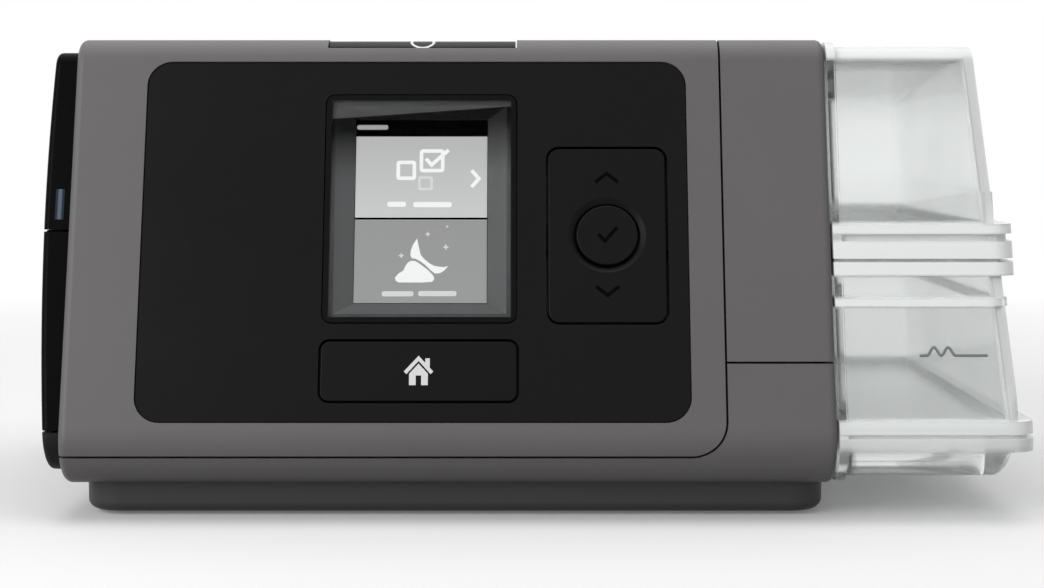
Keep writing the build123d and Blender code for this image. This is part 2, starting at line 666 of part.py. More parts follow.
with BuildPart() as lower_case:
    add(housing_form.part)
    slab(lower_region.sketch)
    bar(bay_section(-FIT), RIGHT_X - 2 * WALL, RIGHT_X, mode=Mode.SUBTRACT)
    # ribs under the bay
    bay_foot = CASE_BOTTOM + BAY_LIFT
    for rib_y in (-BAY_RIB_Y, BAY_RIB_Y):
        rib = rectangle(
            BAY_LEFT + BAY_R, RIGHT_X - WALL - BAY_LIP_THICK - FIT, FLOOR_Z - WALL / 2, bay_foot
        )
        from_front(rib, rib_y - BAY_RIB / 2, rib_y + BAY_RIB / 2)
    # screw bosses, blower posts and heater posts on the floor
    with BuildSketch(Plane.XY.offset(CASE_BOTTOM)) as bosses:
        with Locations(*screw_spots):
            Circle(SCREW_R + BOSS_WALL)
    extrude(bosses.sketch, amount=WALL + SCREW_BITE)
    with BuildSketch(Plane.XY.offset(FLOOR_Z - WALL / 2)) as blower_posts:
        with Locations((BLOWER_X, BLOWER_Y)):
            with PolarLocations(MOUNT_RING_R, MOUNTS):
                Circle(MOUNT_R)
    extrude(blower_posts.sketch, amount=BLOWER_LOW_Z - MOUNT_H - FLOOR_Z + WALL / 2)
    with BuildSketch(Plane.XY.offset(FLOOR_Z - WALL / 2)) as heater_posts:
        with Locations((HEATER_X, 0)):
            with GridLocations(
                HEATER_LENGTH - 2 * HEATER_POST_IN, HEATER_WIDTH - 2 * HEATER_POST_IN, 2, 2
            ):
                Circle(POST_R)
    extrude(heater_posts.sketch, amount=INSULATION_LOW_Z - FLOOR_Z + WALL / 2)
    with BuildSketch(Plane.XY.offset(CASE_BOTTOM)) as pilot_holes:
        with Locations(*screw_spots):
            Circle(SCREW_R + RUN)
    extrude(pilot_holes.sketch, amount=WALL + SCREW_BITE, mode=Mode.SUBTRACT)
write(lower_case, "lower_case")

with BuildPart() as base_plate:
    plinth = rectangle(PLINTH_LEFT, PLINTH_RIGHT, PLINTH_FRONT, PLINTH_BACK, PLINTH_CORNER_R)
    upright(plinth, FOOT_PROUD, CASE_BOTTOM)
    fillet(base_plate.faces().sort_by(Axis.Z)[0].edges(), PLINTH_EDGE_R)
    with BuildSketch(Plane.XY.offset(HEAD_SEAT_Z)) as tray:
        add(plinth)
        offset(amount=-WALL)
        with Locations(*screw_spots):
            Circle(SCREW_HEAD_R + BOSS_WALL, mode=Mode.SUBTRACT)
    extrude(tray.sketch, amount=CASE_BOTTOM, mode=Mode.SUBTRACT)
    with BuildSketch(Plane.XY.offset(FOOT_PROUD)) as foot_pockets:
        with Locations(*foot_spots):
            RectangleRounded(FOOT_LENGTH + FIT, FOOT_WIDTH + FIT, FOOT_WIDTH / 3)
    extrude(foot_pockets.sketch, amount=FOOT_THICK - FOOT_PROUD, mode=Mode.SUBTRACT)
    with BuildSketch(Plane.XY.offset(FOOT_PROUD)) as head_wells:
        with Locations(*screw_spots):
            Circle(SCREW_HEAD_R + FIT)
    extrude(head_wells.sketch, amount=HEAD_SEAT_Z - FOOT_PROUD, mode=Mode.SUBTRACT)
    with BuildSketch(Plane.XY.offset(FOOT_PROUD)) as shank_holes:
        with Locations(*screw_spots):
            Circle(SCREW_R + FIT)
    extrude(shank_holes.sketch, amount=CASE_BOTTOM, mode=Mode.SUBTRACT)
write(base_plate, "base_plate")

with BuildPart() as rubber_feet:
    with BuildSketch() as foot_pads:
        with Locations(*foot_spots):
            RectangleRounded(FOOT_LENGTH, FOOT_WIDTH, FOOT_WIDTH / 3)
    extrude(foot_pads.sketch, amount=FOOT_THICK)
write(rubber_feet, "rubber_feet")

with BuildPart() as base_screws:
    with BuildSketch(Plane.XY.offset(HEAD_SEAT_Z - SCREW_HEAD_H)) as screw_heads:
        with Locations(*screw_spots):
            Circle(SCREW_HEAD_R)
    extrude(screw_heads.sketch, amount=SCREW_HEAD_H)
    with BuildSketch(Plane.XY.offset(HEAD_SEAT_Z)) as shanks:
        with Locations(*screw_spots):
            Circle(SCREW_R)
    extrude(shanks.sketch, amount=FLOOR_Z + SCREW_BITE - FIT - HEAD_SEAT_Z)
write(base_screws, "base_screws")

# ---------------------------------------------------------------- front panel and keys
home_outline = plate(SCREEN_X, HOME_V, HOME_WIDTH, HOME_TALL, HOME_R)
pad_outline = plate(PAD_X, PAD_V, PAD_WIDTH, PAD_TALL, PAD_R)
view_outline = plate(SCREEN_X, SCREEN_V, VIEW_WIDTH, VIEW_TALL)


def screen_plate(grow, radius=0.0):
    """The screen's outline, grown or shrunk on all sides."""
    return plate(SCREEN_X, SCREEN_V, SCREEN_WIDTH + 2 * grow, SCREEN_TALL + 2 * grow, radius)


with BuildSketch() as panel_outline:
    add(plate(PANEL_X, PANEL_V, PANEL_WIDTH, PANEL_TALL, PANEL_R))
    add(screen_plate(FIT, SCREEN_R + FIT), mode=Mode.SUBTRACT)
    for key in (home_outline, pad_outline):
        with BuildSketch(mode=Mode.SUBTRACT):
            add(key)
            offset(amount=KEY_GAP)

with BuildPart() as control_panel:
    behind_face(panel_outline.sketch, PANEL_SUNK, PANEL_BACK)
    # posts that carry the interface board
    with BuildSketch() as posts:
        with Locations(*post_spots):
            Circle(POST_R)
    behind_face(posts.sketch, PANEL_BACK, BOARD_DEPTH)
    with BuildSketch() as post_holes:
        with Locations(*post_spots):
            Circle(BOARD_SCREW_R)
    behind_face(post_holes.sketch, BOARD_DEPTH - BOARD_SCREW_BITE, BOARD_DEPTH, mode=Mode.SUBTRACT)
write(control_panel, "control_panel")

with BuildPart() as lcd_bezel:
    behind_face(screen_plate(0, SCREEN_R), 0, BEZEL_DEPTH)
    behind_face(screen_plate(BEZEL_FLANGE, SCREEN_R), PANEL_BACK, BEZEL_DEPTH)
    glass_back = PANEL_SUNK + GLASS_THICK
    behind_face(screen_plate(-SCREEN_RIM), 0, glass_back, mode=Mode.SUBTRACT)
    with BuildSketch(FACE.offset(-glass_back)) as slope_front:
        add(screen_plate(-SCREEN_RIM - GLASS_SEAT))
    with BuildSketch(FACE.offset(BEZEL_LAND - BEZEL_DEPTH)) as slope_back:
        add(view_outline)
    loft([slope_front.sketch, slope_back.sketch], mode=Mode.SUBTRACT)
    behind_face(view_outline, glass_back, BEZEL_DEPTH, mode=Mode.SUBTRACT)
write(lcd_bezel, "lcd_bezel")

with BuildPart() as lcd_window:
    behind_face(screen_plate(-SCREEN_RIM - RUN), PANEL_SUNK, glass_back)
write(lcd_window, "lcd_window")

with BuildPart() as lcd_module:
    display = plate(
        SCREEN_X, SCREEN_V, VIEW_WIDTH + 2 * DISPLAY_MARGIN, VIEW_TALL + 2 * DISPLAY_MARGIN
    )
    behind_face(display, BEZEL_DEPTH, BOARD_DEPTH)
write(lcd_module, "lcd_module")

with BuildPart() as home_button:
    behind_face(home_outline, KEY_SUNK, KEY_BACK)
    front_face = home_button.faces().sort_by(Axis(origin=(0, 0, 0), direction=FACE.z_dir))[-1]
    fillet(front_face.edges(), KEY_EDGE_R)
    with BuildSketch() as home_flange:
        add(home_outline)
        offset(amount=KEY_FLANGE)
    behind_face(home_flange.sketch, FLANGE_FRONT, FLANGE_FRONT + KEY_FLANGE_THICK)
    behind_face(plate(SCREEN_X, HOME_V, 2 * PLUNGER_R, 2 * PLUNGER_R), KEY_BACK, STEM_DEPTH)
write(home_button, "home_button")

with BuildPart() as rocker_key:
    behind_face(pad_outline, KEY_SUNK, KEY_BACK)
    front_face = rocker_key.faces().sort_by(Axis(origin=(0, 0, 0), direction=FACE.z_dir))[-1]
    fillet(front_face.edges(), KEY_EDGE_R)
    # lugs at mid-height that bear behind the panel, and plungers over the domes
    lugs = plate(PAD_X, PAD_V, PAD_WIDTH + 2 * KEY_FLANGE, LUG_TALL)
    behind_face(lugs, LUG_BACK - KEY_FLANGE_THICK, LUG_BACK)
    with BuildSketch() as plungers:
        with Locations((PAD_X, PAD_V - PLUNGER_STEP), (PAD_X, PAD_V + PLUNGER_STEP)):
            Circle(PLUNGER_R)
    behind_face(plungers.sketch, KEY_BACK, STEM_DEPTH)
    rod(FACE.offset(-BOARD_DEPTH), PAD_X, PAD_V, OK_R + KEY_GAP, BOARD_DEPTH, mode=Mode.SUBTRACT)
    with BuildSketch(FACE.offset(-KEY_SUNK)) as dish_front:
        with Locations((PAD_X, PAD_V)):
            Circle(OK_DISH_R)
    with BuildSketch(FACE.offset(-KEY_SUNK - OK_DISH_DEPTH)) as dish_back:
        with Locations((PAD_X, PAD_V)):
            Circle(OK_R + KEY_GAP)
    loft([dish_front.sketch, dish_back.sketch], mode=Mode.SUBTRACT)
write(rocker_key, "rocker_key")

with BuildPart() as ok_button:
    rod(FACE.offset(-STEM_DEPTH), PAD_X, PAD_V, OK_R, STEM_DEPTH - KEY_SUNK)
    front_face = ok_button.faces().sort_by(Axis(origin=(0, 0, 0), direction=FACE.z_dir))[-1]
    fillet(front_face.edges(), KEY_EDGE_R)
    flange_back = LUG_BACK + FIT + OK_FLANGE_THICK
    rod(FACE.offset(-flange_back), PAD_X, PAD_V, OK_R + KEY_FLANGE, OK_FLANGE_THICK)
write(ok_button, "ok_button")

with BuildPart() as key_membrane:
    pad_left = PAD_X - PAD_WIDTH / 2 + MEMBRANE_IN
    pad_right = PAD_X + PAD_WIDTH / 2 - MEMBRANE_IN
    strip_high = HOME_V + HOME_TALL / 2
    strip = rectangle(SCREEN_X - HOME_WIDTH / 2, pad_right, HOME_V - HOME_TALL / 2, strip_high)
    behind_face(strip, MEMBRANE_DEPTH, BOARD_DEPTH)
    column = rectangle(pad_left, pad_right, strip_high, PAD_V + PAD_TALL / 2)
    behind_face(column, MEMBRANE_DEPTH, BOARD_DEPTH)
    with BuildSketch() as domes:
        with Locations(
            (SCREEN_X, HOME_V),
            (PAD_X, PAD_V),
            (PAD_X, PAD_V - PLUNGER_STEP),
            (PAD_X, PAD_V + PLUNGER_STEP),
        ):
            Circle(DOME_R)
    behind_face(domes.sketch, DOME_DEPTH, MEMBRANE_DEPTH)
write(key_membrane, "key_membrane")

with BuildSketch() as board_holes:
    with Locations(*post_spots):
        Circle(BOARD_SCREW_R + RUN)

with BuildPart() as interface_board:
    behind_face(rectangle(BOARD_LEFT, BOARD_RIGHT, BOARD_LOW, BOARD_HIGH), BOARD_DEPTH, BOARD_BACK)
    behind_face(board_holes.sketch, 0, BOARD_BACK, mode=Mode.SUBTRACT)
write(interface_board, "interface_board")

with BuildPart() as main_board:
    main_back = MAIN_BOARD_DEPTH + BOARD_THICK
    body = rectangle(BOARD_LEFT, BOARD_RIGHT, BOARD_LOW, BOARD_HIGH)
    behind_face(body, MAIN_BOARD_DEPTH, main_back)
    wing = rectangle(LEFT_X + MAIN_BOARD_LEFT_IN, BOARD_LEFT, MAIN_BOARD_WING_LOW, BOARD_HIGH)
    behind_face(wing, MAIN_BOARD_DEPTH, main_back)
    behind_face(board_holes.sketch, 0, main_back, mode=Mode.SUBTRACT)
write(main_board, "main_board")

with BuildPart() as board_spacers:
    with BuildSketch() as spacer_bodies:
        with Locations(*post_spots):
            RegularPolygon(SPACER_R, 6)
    behind_face(spacer_bodies.sketch, BOARD_BACK, MAIN_BOARD_DEPTH)
    with BuildSketch() as spacer_studs:
        with Locations(*post_spots):
            Circle(BOARD_SCREW_R)
    behind_face(spacer_studs.sketch, BOARD_DEPTH - BOARD_SCREW_BITE, BOARD_BACK)
    behind_face(
        board_holes.sketch, MAIN_BOARD_DEPTH - BOARD_SCREW_BITE, MAIN_BOARD_DEPTH, mode=Mode.SUBTRACT
    )
write(board_spacers, "board_spacers")

with BuildPart() as board_screws:
    with BuildSketch() as board_heads:
        with Locations(*post_spots):
            Circle(BOARD_HEAD_R)
    behind_face(board_heads.sketch, main_back, main_back + BOARD_HEAD_H)
    behind_face(spacer_studs.sketch, MAIN_BOARD_DEPTH - BOARD_SCREW_BITE, main_back)
write(board_screws, "board_screws")

with BuildPart() as ribbon_cable:
    ribbon = plate(SCREEN_X, BOARD_HIGH - RIBBON_DROP, RIBBON_WIDTH, RIBBON_THICK)
    behind_face(ribbon, BOARD_BACK, MAIN_BOARD_DEPTH)
write(ribbon_cable, "ribbon_cable")

# ---------------------------------------------------------------- start button
with BuildPart() as start_button:
    bar(housing_section(START_SUNK), START_LEFT, START_RIGHT)
    key_block = rectangle(START_LEFT, START_RIGHT, START_LOW_Z, HEIGHT)
    from_front(key_block, START_FRONT_Y, START_BACK_Y, mode=Mode.INTERSECT)
    # tabs that stop the key under the top wall
    tabs = rectangle(
        START_LEFT - START_TAB, START_RIGHT + START_TAB, START_LOW_Z, HEIGHT - START_TAB_DROP
    )
    tab_front = CREST_Y - START_TAB_FRONT
    from_front(tabs, tab_front, tab_front + START_TAB_SPAN)
write(start_button, "start_button")

with BuildPart() as start_switch:
    board_reach = START_POST_OUT + 2 * POST_R
    board_plan = rectangle(
        START_LEFT - board_reach,
        START_RIGHT + board_reach,
        SWITCH_Y - SWITCH_BOARD_WIDTH / 2,
        SWITCH_Y + SWITCH_BOARD_WIDTH / 2,
    )
    upright(board_plan, SWITCH_BOARD_Z, SWITCH_BOARD_Z + BOARD_THICK)
    dome_plane = Plane.XY.offset(SWITCH_BOARD_Z + BOARD_THICK)
    rod(dome_plane, SCREEN_X, SWITCH_Y, SWITCH_R, SWITCH_H)
write(start_switch, "start_switch")

# ---------------------------------------------------------------- left side panels
side_apex = LEFT_X - SIDE_BULGE


def crown_x(z):
    """X of the side panels' crowned surface at a height."""
    rise = z - SIDE_FULL_Z
    return side_apex + SIDE_CROWN_R - (SIDE_CROWN_R**2 - rise**2) ** 0.5


door_axis_x = crown_x(DOOR_AXIS_Z) + DOOR_THICK / 2

with BuildSketch() as crown:
    with BuildLine():
        arch = ThreePointArc((crown_x(0), 0), (side_apex, SIDE_FULL_Z), (crown_x(HEIGHT), HEIGHT))
        Polyline(arch @ 1, (LEFT_X, HEIGHT), (LEFT_X, 0), arch @ 0)
    make_face()

with BuildPart() as side_form:
    bar(housing_section(SIDE_IN), side_apex - SIDE_IN, LEFT_X)
    slab(crown.sketch)
    fillet(side_form.faces().sort_by(Axis.X)[0].edges(), SIDE_EDGE_R)


def side_piece(low_z, high_z):
    """Cut the side form to a stretch of heights and hollow its inner side."""
    add(side_form.part)
    slab(rectangle(side_apex - SIDE_IN, LEFT_X, low_z, high_z))
    hollow = clipped(housing_section(SIDE_IN + SIDE_WALL), low_z + SIDE_WALL, high_z - SIDE_WALL)
    bar(hollow, LEFT_X - SIDE_HOLLOW, LEFT_X, mode=Mode.SUBTRACT)


def side_tongue(seam_z):
    """A low tongue that closes the lower side of a seam behind the panels' skin."""
    low_z = seam_z - SEAM / 2
    tongue = clipped(housing_section(SIDE_IN + SIDE_TONGUE_IN), low_z, seam_z + SEAM / 2 - SIDE_TONGUE_GAP)
    bar(tongue, crown_x(low_z) + SIDE_TONGUE_IN, LEFT_X - SIDE_HOLLOW)


light_v = (LIGHT_LOW_Z + LIGHT_TALL / 2) / COS_LEAN
light_x = LEFT_X - LIGHT_IN

with BuildPart() as adapter_cover:
    side_piece(SIDE_SEAM_Z + SEAM / 2, HEIGHT)
    light_slot = plate(light_x, light_v, LIGHT_WIDTH, LIGHT_TALL)
    behind_face(light_slot, 0, SIDE_IN + LIGHT_DEEP, mode=Mode.SUBTRACT)
write(adapter_cover, "adapter_cover")

with BuildPart() as status_light:
    behind_face(light_slot, SIDE_IN, SIDE_IN + LIGHT_DEEP)
write(status_light, "status_light")

door_pin_line = Plane.XZ.offset(-DOOR_Y - DOOR_WIDTH / 2)
with BuildPart() as side_panel:
    side_piece(SIDE_FOOT_Z + SEAM / 2, SIDE_SEAM_Z - SEAM / 2)
    side_tongue(SIDE_SEAM_Z)
    door_hole = plate(DOOR_Y, DOOR_LOW_Z + DOOR_TALL / 2, DOOR_WIDTH + 2 * FIT, DOOR_TALL + 2 * FIT)
    bar(door_hole, side_apex - SIDE_IN, LEFT_X, mode=Mode.SUBTRACT)
    rod(
        door_pin_line.offset(-DOOR_PIN_SEAT),
        door_axis_x,
        DOOR_AXIS_Z,
        DOOR_PIN_R,
        DOOR_WIDTH + 2 * DOOR_PIN_SEAT,
        mode=Mode.SUBTRACT,
    )
write(side_panel, "side_panel")

with BuildPart() as side_foot:
    side_piece(0, SIDE_FOOT_Z - SEAM / 2)
    side_tongue(SIDE_FOOT_Z)
write(side_foot, "side_foot")

with BuildPart() as sd_card_cover:
    door_high = DOOR_LOW_Z + DOOR_TALL
    with BuildSketch() as door_side:
        add(rectangle(side_apex, door_axis_x + DOOR_THICK / 2, DOOR_AXIS_Z, door_high))
        with Locations((door_axis_x, DOOR_AXIS_Z)):
            Circle(DOOR_THICK / 2)
        add(crown.sketch, mode=Mode.INTERSECT)
    from_front(door_side.sketch, DOOR_Y - DOOR_WIDTH / 2, DOOR_Y + DOOR_WIDTH / 2)
    rod(door_pin_line, door_axis_x, DOOR_AXIS_Z, DOOR_PIN_R + RUN, DOOR_WIDTH, mode=Mode.SUBTRACT)
write(sd_card_cover, "sd_card_cover")

with BuildPart() as sd_cover_pin:
    pin_line = door_pin_line.offset(-DOOR_PIN_SEAT)
    rod(pin_line, door_axis_x, DOOR_AXIS_Z, DOOR_PIN_R, DOOR_WIDTH + 2 * DOOR_PIN_SEAT)
write(sd_cover_pin, "sd_cover_pin")

with BuildPart() as sd_card:
    card_end = LEFT_X - CARD_PROUD + CARD_LENGTH
    upright(
        rectangle(
            LEFT_X - CARD_PROUD, card_end, DOOR_Y - CARD_WIDTH / 2, DOOR_Y + CARD_WIDTH / 2
        ),
        CARD_Z - CARD_THICK / 2,
        CARD_Z + CARD_THICK / 2,
    )
    inner_corner = sd_card.edges().filter_by(Axis.Z).group_by(Axis.X)[-1].sort_by(Axis.Y)[0]
    chamfer(inner_corner, CARD_CORNER)
write(sd_card, "sd_card")

with BuildPart() as sd_card_reader:
    reader_wide = CARD_WIDTH + 2 * FIT
    reader_tall = CARD_THICK + 2 * FIT
    slot_end = card_end + CARD_PUSH + FIT
    shell = plate(DOOR_Y, CARD_Z, reader_wide + 2 * READER_WALL, reader_tall + 2 * READER_WALL)
    bar(shell, LEFT_X + WALL, slot_end + READER_WALL)
    bar(plate(DOOR_Y, CARD_Z, reader_wide, reader_tall), LEFT_X + WALL, slot_end, mode=Mode.SUBTRACT)
write(sd_card_reader, "sd_card_reader")

# ---------------------------------------------------------------- humidifier bay
port_spots = [(PORT_IN_Y, PORT_Z), (PORT_OUT_Y, PORT_Z)]
heater_outline = plate(HEATER_X, 0, HEATER_LENGTH, HEATER_WIDTH, HEATER_R)


def heater_plate_outline(grow):
    """The heater's outline, grown on all sides."""
    return plate(HEATER_X, 0, HEATER_LENGTH + 2 * grow, HEATER_WIDTH + 2 * grow, HEATER_R + grow)


with BuildPart() as bay_liner:
    bar(bay_section(0), BAY_LEFT, RIGHT_X)
    lip_end = RIGHT_X - WALL
    bar(bay_section(-BAY_LIP), lip_end - BAY_LIP_THICK, lip_end)
    bar(bay_section(BAY_WALL), BAY_LEFT + BAY_WALL, RIGHT_X, mode=Mode.SUBTRACT)
    for port_y, port_z in port_spots:
        port_hole = Plane.YZ.offset(BAY_LEFT)
        rod(port_hole, port_y, port_z, PORT_R + SEAL_WALL, BAY_WALL, mode=Mode.SUBTRACT)
    upright(heater_plate_outline(FIT), CASE_BOTTOM, BAY_FLOOR_Z, mode=Mode.SUBTRACT)
write(bay_liner, "bay_liner")

with BuildPart() as port_seals:
    seal_length = SEAL_BACK + BAY_WALL + SEAL_PROUD
    for port_y, port_z in port_spots:
        seal_start = Plane.YZ.offset(BAY_LEFT - SEAL_BACK)
        rod(seal_start, port_y, port_z, PORT_R + SEAL_WALL, seal_length)
        rod(seal_start, port_y, port_z, PORT_R, seal_length, mode=Mode.SUBTRACT)
write(port_seals, "port_seals")

with BuildPart() as heater_plate:
    upright(heater_plate_outline(0), HEATER_TOP_Z - HEATER_THICK, HEATER_TOP_Z)
    rim_top = HEATER_RIM_LOW_Z + HEATER_RIM_THICK
    upright(heater_plate_outline(HEATER_RIM), HEATER_RIM_LOW_Z, rim_top)
write(heater_plate, "heater_plate")

with BuildPart() as heater_insulation:
    upright(heater_plate_outline(HEATER_RIM), INSULATION_LOW_Z, HEATER_RIM_LOW_Z)
write(heater_insulation, "heater_insulation")

# ---------------------------------------------------------------- water tub
HEAD_X = RIGHT_X + HEAD_GAP
PART_LOW_Z = PART_Z - SEAL_THICK / 2
PART_HIGH_Z = PART_Z + SEAL_THICK / 2

with BuildSketch() as tub_front:
    with BuildLine():
        Polyline(
            (TUB_LEFT, 0),
            (TUB_END_X - SKIRT_IN, 0),
            (TUB_END_X - SKIRT_IN, CASE_BOTTOM),
            (TUB_END_X - HEAD_LOW_IN, LEDGE_TOP_Z),
            (TUB_END_X - HEAD_TOP_IN, HEIGHT),
            (TUB_LEFT, HEIGHT),
            close=True,
        )
    make_face()


def tub_form(inset):
    """The tub's outer form, or its hollow when an inset is given."""
    with BuildSketch() as front:
        add(tub_front.sketch)
        offset(amount=-inset, kind=Kind.INTERSECTION)
    with BuildPart() as form:
        bar(housing_section(HEAD_IN + inset), HEAD_X + inset, TUB_END_X)
        slab(front.sketch)
        if inset == 0:
            fillet(form.faces().sort_by(Axis.X)[-1].edges(), HEAD_EDGE_R)
        bar(bay_section(BAY_WALL + TUB_GAP + inset), TUB_LEFT + inset, HEAD_X + RIM_THICK + inset)
    return form.part


def ledge(low_z, high_z, end_in, inset=LEDGE_IN):
    """A flange round the tub's head, with its outer corners rounded in plan."""
    with BuildPart() as form:
        bar(clipped(housing_section(inset), low_z, high_z), HEAD_X, TUB_END_X - end_in)
        corners = form.faces().sort_by(Axis.X)[-1].edges().filter_by(Axis.Y, reverse=True)
        fillet(corners, FLANGE_CORNER_R + LEDGE_IN - inset)
    return form.part


def grooved_ledge(low_z, groove_low_z, groove_high_z, high_z, end_in):
    """A flange with a groove round it that is as deep as the flange stands proud."""
    with BuildPart() as form:
        add(ledge(low_z, high_z, end_in))
        slab(rectangle(TUB_LEFT, TUB_END_X, groove_low_z, groove_high_z), mode=Mode.SUBTRACT)
        add(ledge(low_z, high_z, end_in + HEAD_IN - LEDGE_IN, HEAD_IN))
    return form.part


tub_body = tub_form(0)
tub_hollow = tub_form(TUB_WALL)
knuckle = HINGE_SPAN / HINGE_PARTS
lid_knuckles = range(0, HINGE_PARTS, 2)
base_knuckles = range(1, HINGE_PARTS, 2)
hinge_right = HINGE_X + HINGE_R


def hinge_blocks(parts, low_z, high_z, grow, mode=Mode.ADD):
    """The hinge's knuckles with the arms that carry them, or the room cut for them."""
    for part in parts:
        start_y = part * knuckle - HINGE_SPAN / 2 + FIT / 2 - grow
        end_y = start_y + knuckle - FIT + 2 * grow
        arm = rectangle(HINGE_X - HINGE_R - grow, hinge_right + grow, low_z, high_z)
        from_front(arm, start_y, end_y, mode=mode)
        rod(Plane.XZ.offset(-end_y), HINGE_X, HINGE_Z, HINGE_R + grow, end_y - start_y, mode=mode)


def hinge_bore(mode=Mode.SUBTRACT):
    """The bore for the hinge pin."""
    far_end = Plane.XZ.offset(-HINGE_SPAN / 2)
    rod(far_end, HINGE_X, HINGE_Z, HINGE_PIN_R + RUN, HINGE_SPAN, mode=mode)


with BuildPart() as tub_base:
    add(tub_body)
    add(grooved_ledge(LEDGE_LOW_Z, LEDGE_GROOVE_LOW_Z, LEDGE_GROOVE_HIGH_Z, LEDGE_TOP_Z, LEDGE_END_IN))
    add(ledge(BEAD_LOW_Z, BEAD_HIGH_Z, BEAD_END_IN))
    add(ledge(FLANGE_LOW_Z, PART_Z, FLANGE_END_IN))
    bar(housing_section(RIM_IN), HEAD_X, HEAD_X + RIM_THICK)
    slab(rectangle(TUB_LEFT, TUB_END_X, 0, PART_LOW_Z))
    hinge_blocks(lid_knuckles, PART_LOW_Z - FIT, PART_Z, FIT, mode=Mode.SUBTRACT)
    hinge_blocks(base_knuckles, FLANGE_LOW_Z, HINGE_Z, 0)
    hinge_bore()
    with BuildPart(mode=Mode.SUBTRACT):
        add(tub_hollow)
        slab(rectangle(TUB_LEFT, TUB_END_X, CHAMBER_FLOOR_Z, HEIGHT))
    # the skirt is open underneath
    skirt_room = rectangle(
        HEAD_X + RIM_THICK + SKIRT_WALL,
        TUB_END_X - SKIRT_IN - SKIRT_WALL,
        FRONT_Y + NOSE_R + SKIRT_WALL,
        BACK_Y - BACK_LOW_R - SKIRT_WALL,
        SKIRT_CORNER_R,
    )
    upright(skirt_room, 0, CHAMBER_FLOOR_Z - SKIRT_WALL, mode=Mode.SUBTRACT)
    # seat of the metal plate and the opening above it
    plate_seat = heater_plate_outline(TUB_PLATE_RIM + RUN)
    upright(plate_seat, 0, TUB_LOW_Z + TUB_PLATE_THICK, mode=Mode.SUBTRACT)
    upright(heater_outline, 0, CHAMBER_FLOOR_Z, mode=Mode.SUBTRACT)
write(tub_base, "tub_base")

with BuildPart() as tub_lid:
    add(tub_body)
    add(grooved_ledge(PART_Z, FLANGE_GROOVE_LOW_Z, FLANGE_GROOVE_HIGH_Z, FLANGE_TOP_Z, FLANGE_END_IN))
    add(ledge(FLANGE_TOP_Z, STEP_TOP_Z, STEP_END_IN, STEP_IN))
    bar(housing_section(RIM_IN), HEAD_X, HEAD_X + RIM_THICK)
    slab(rectangle(TUB_LEFT, TUB_END_X, PART_HIGH_Z, HEIGHT))
    hinge_blocks(base_knuckles, PART_Z, HINGE_Z, FIT, mode=Mode.SUBTRACT)
    hinge_blocks(lid_knuckles, HINGE_Z, FLANGE_TOP_Z - HINGE_PIN_R, 0)
    hinge_bore()
    add(tub_hollow, mode=Mode.SUBTRACT)
    for port_y, port_z in port_spots:
        rod(Plane.YZ.offset(TUB_LEFT), port_y, port_z, PORT_R, 2 * TUB_WALL, mode=Mode.SUBTRACT)
write(tub_lid, "tub_lid")

with BuildPart() as tub_seal:
    add(tub_form(SEAL_IN))
    add(tub_form(TUB_WALL - SEAL_IN), mode=Mode.SUBTRACT)
    slab(rectangle(TUB_LEFT, TUB_END_X, PART_LOW_Z, PART_HIGH_Z))
write(tub_seal, "tub_seal")

with BuildPart() as tub_heater_plate:
    upright(heater_plate_outline(TUB_PLATE_RIM), TUB_LOW_Z, TUB_LOW_Z + TUB_PLATE_THICK)
write(tub_heater_plate, "tub_heater_plate")

with BuildPart() as tub_baffle:
    add(tub_form(TUB_WALL + FIT))
    middle_y = (PORT_IN_Y + PORT_OUT_Y) / 2
    baffle = rectangle(TUB_LEFT, TUB_LEFT + BAFFLE_LENGTH, PART_Z + BAFFLE_LIFT, HEIGHT)
    from_front(baffle, middle_y - BAFFLE_THICK / 2, middle_y + BAFFLE_THICK / 2, mode=Mode.INTERSECT)
write(tub_baffle, "tub_baffle")

with BuildPart() as tub_hinge_pin:
    rod(Plane.XZ.offset(-HINGE_SPAN / 2), HINGE_X, HINGE_Z, HINGE_PIN_R, HINGE_SPAN)
write(tub_hinge_pin, "tub_hinge_pin")

# ---------------------------------------------------------------- blower
AXIS = (BLOWER_X, BLOWER_Y)
CAN_LOW_Z = BLOWER_LOW_Z + CAP_THICK
DECK_LOW_Z = BLOWER_DECK_Z - DECK_THICK
WHEEL_LOW_Z = BLOWER_DECK_Z + WHEEL_GAP

with BuildSketch() as scroll_outline:
    with BuildLine():
        first = JernArc((SCROLL_R, 0), (0, 1), SCROLL_RADII[0], 90)
        second = JernArc(first @ 1, first % 1, SCROLL_RADII[1], 90)
        third = JernArc(second @ 1, second % 1, SCROLL_RADII[2], 90)
        Polyline(third @ 1, (SCROLL_R, -SCROLL_FRONT), (SCROLL_R, 0))
    make_face()

with BuildSketch() as scroll_inside:
    add(scroll_outline.sketch)
    offset(amount=-BLOWER_WALL)


def ring(low_z, high_z, outer_r, inner_r):
    """An upright ring about the blower's axis."""
    with BuildSketch(Plane.XY.offset(low_z)) as plan:
        with Locations(AXIS):
            Circle(outer_r)
            Circle(inner_r, mode=Mode.SUBTRACT)
    extrude(plan.sketch, amount=high_z - low_z)


with BuildPart() as blower_base:
    with BuildSketch(Plane.XY.offset(DECK_LOW_Z)) as deck:
        with Locations(AXIS):
            add(scroll_outline.sketch)
            Circle(SHAFT_R + FIT, mode=Mode.SUBTRACT)
    extrude(deck.sketch, amount=DECK_THICK)
    ring(CAN_LOW_Z, DECK_LOW_Z, CAN_R, CAN_R - BLOWER_WALL)
    ring(DECK_LOW_Z - BOSS_HEIGHT, DECK_LOW_Z, BEARING_R + BOSS_WALL, BEARING_R)
write(blower_base, "blower_base")

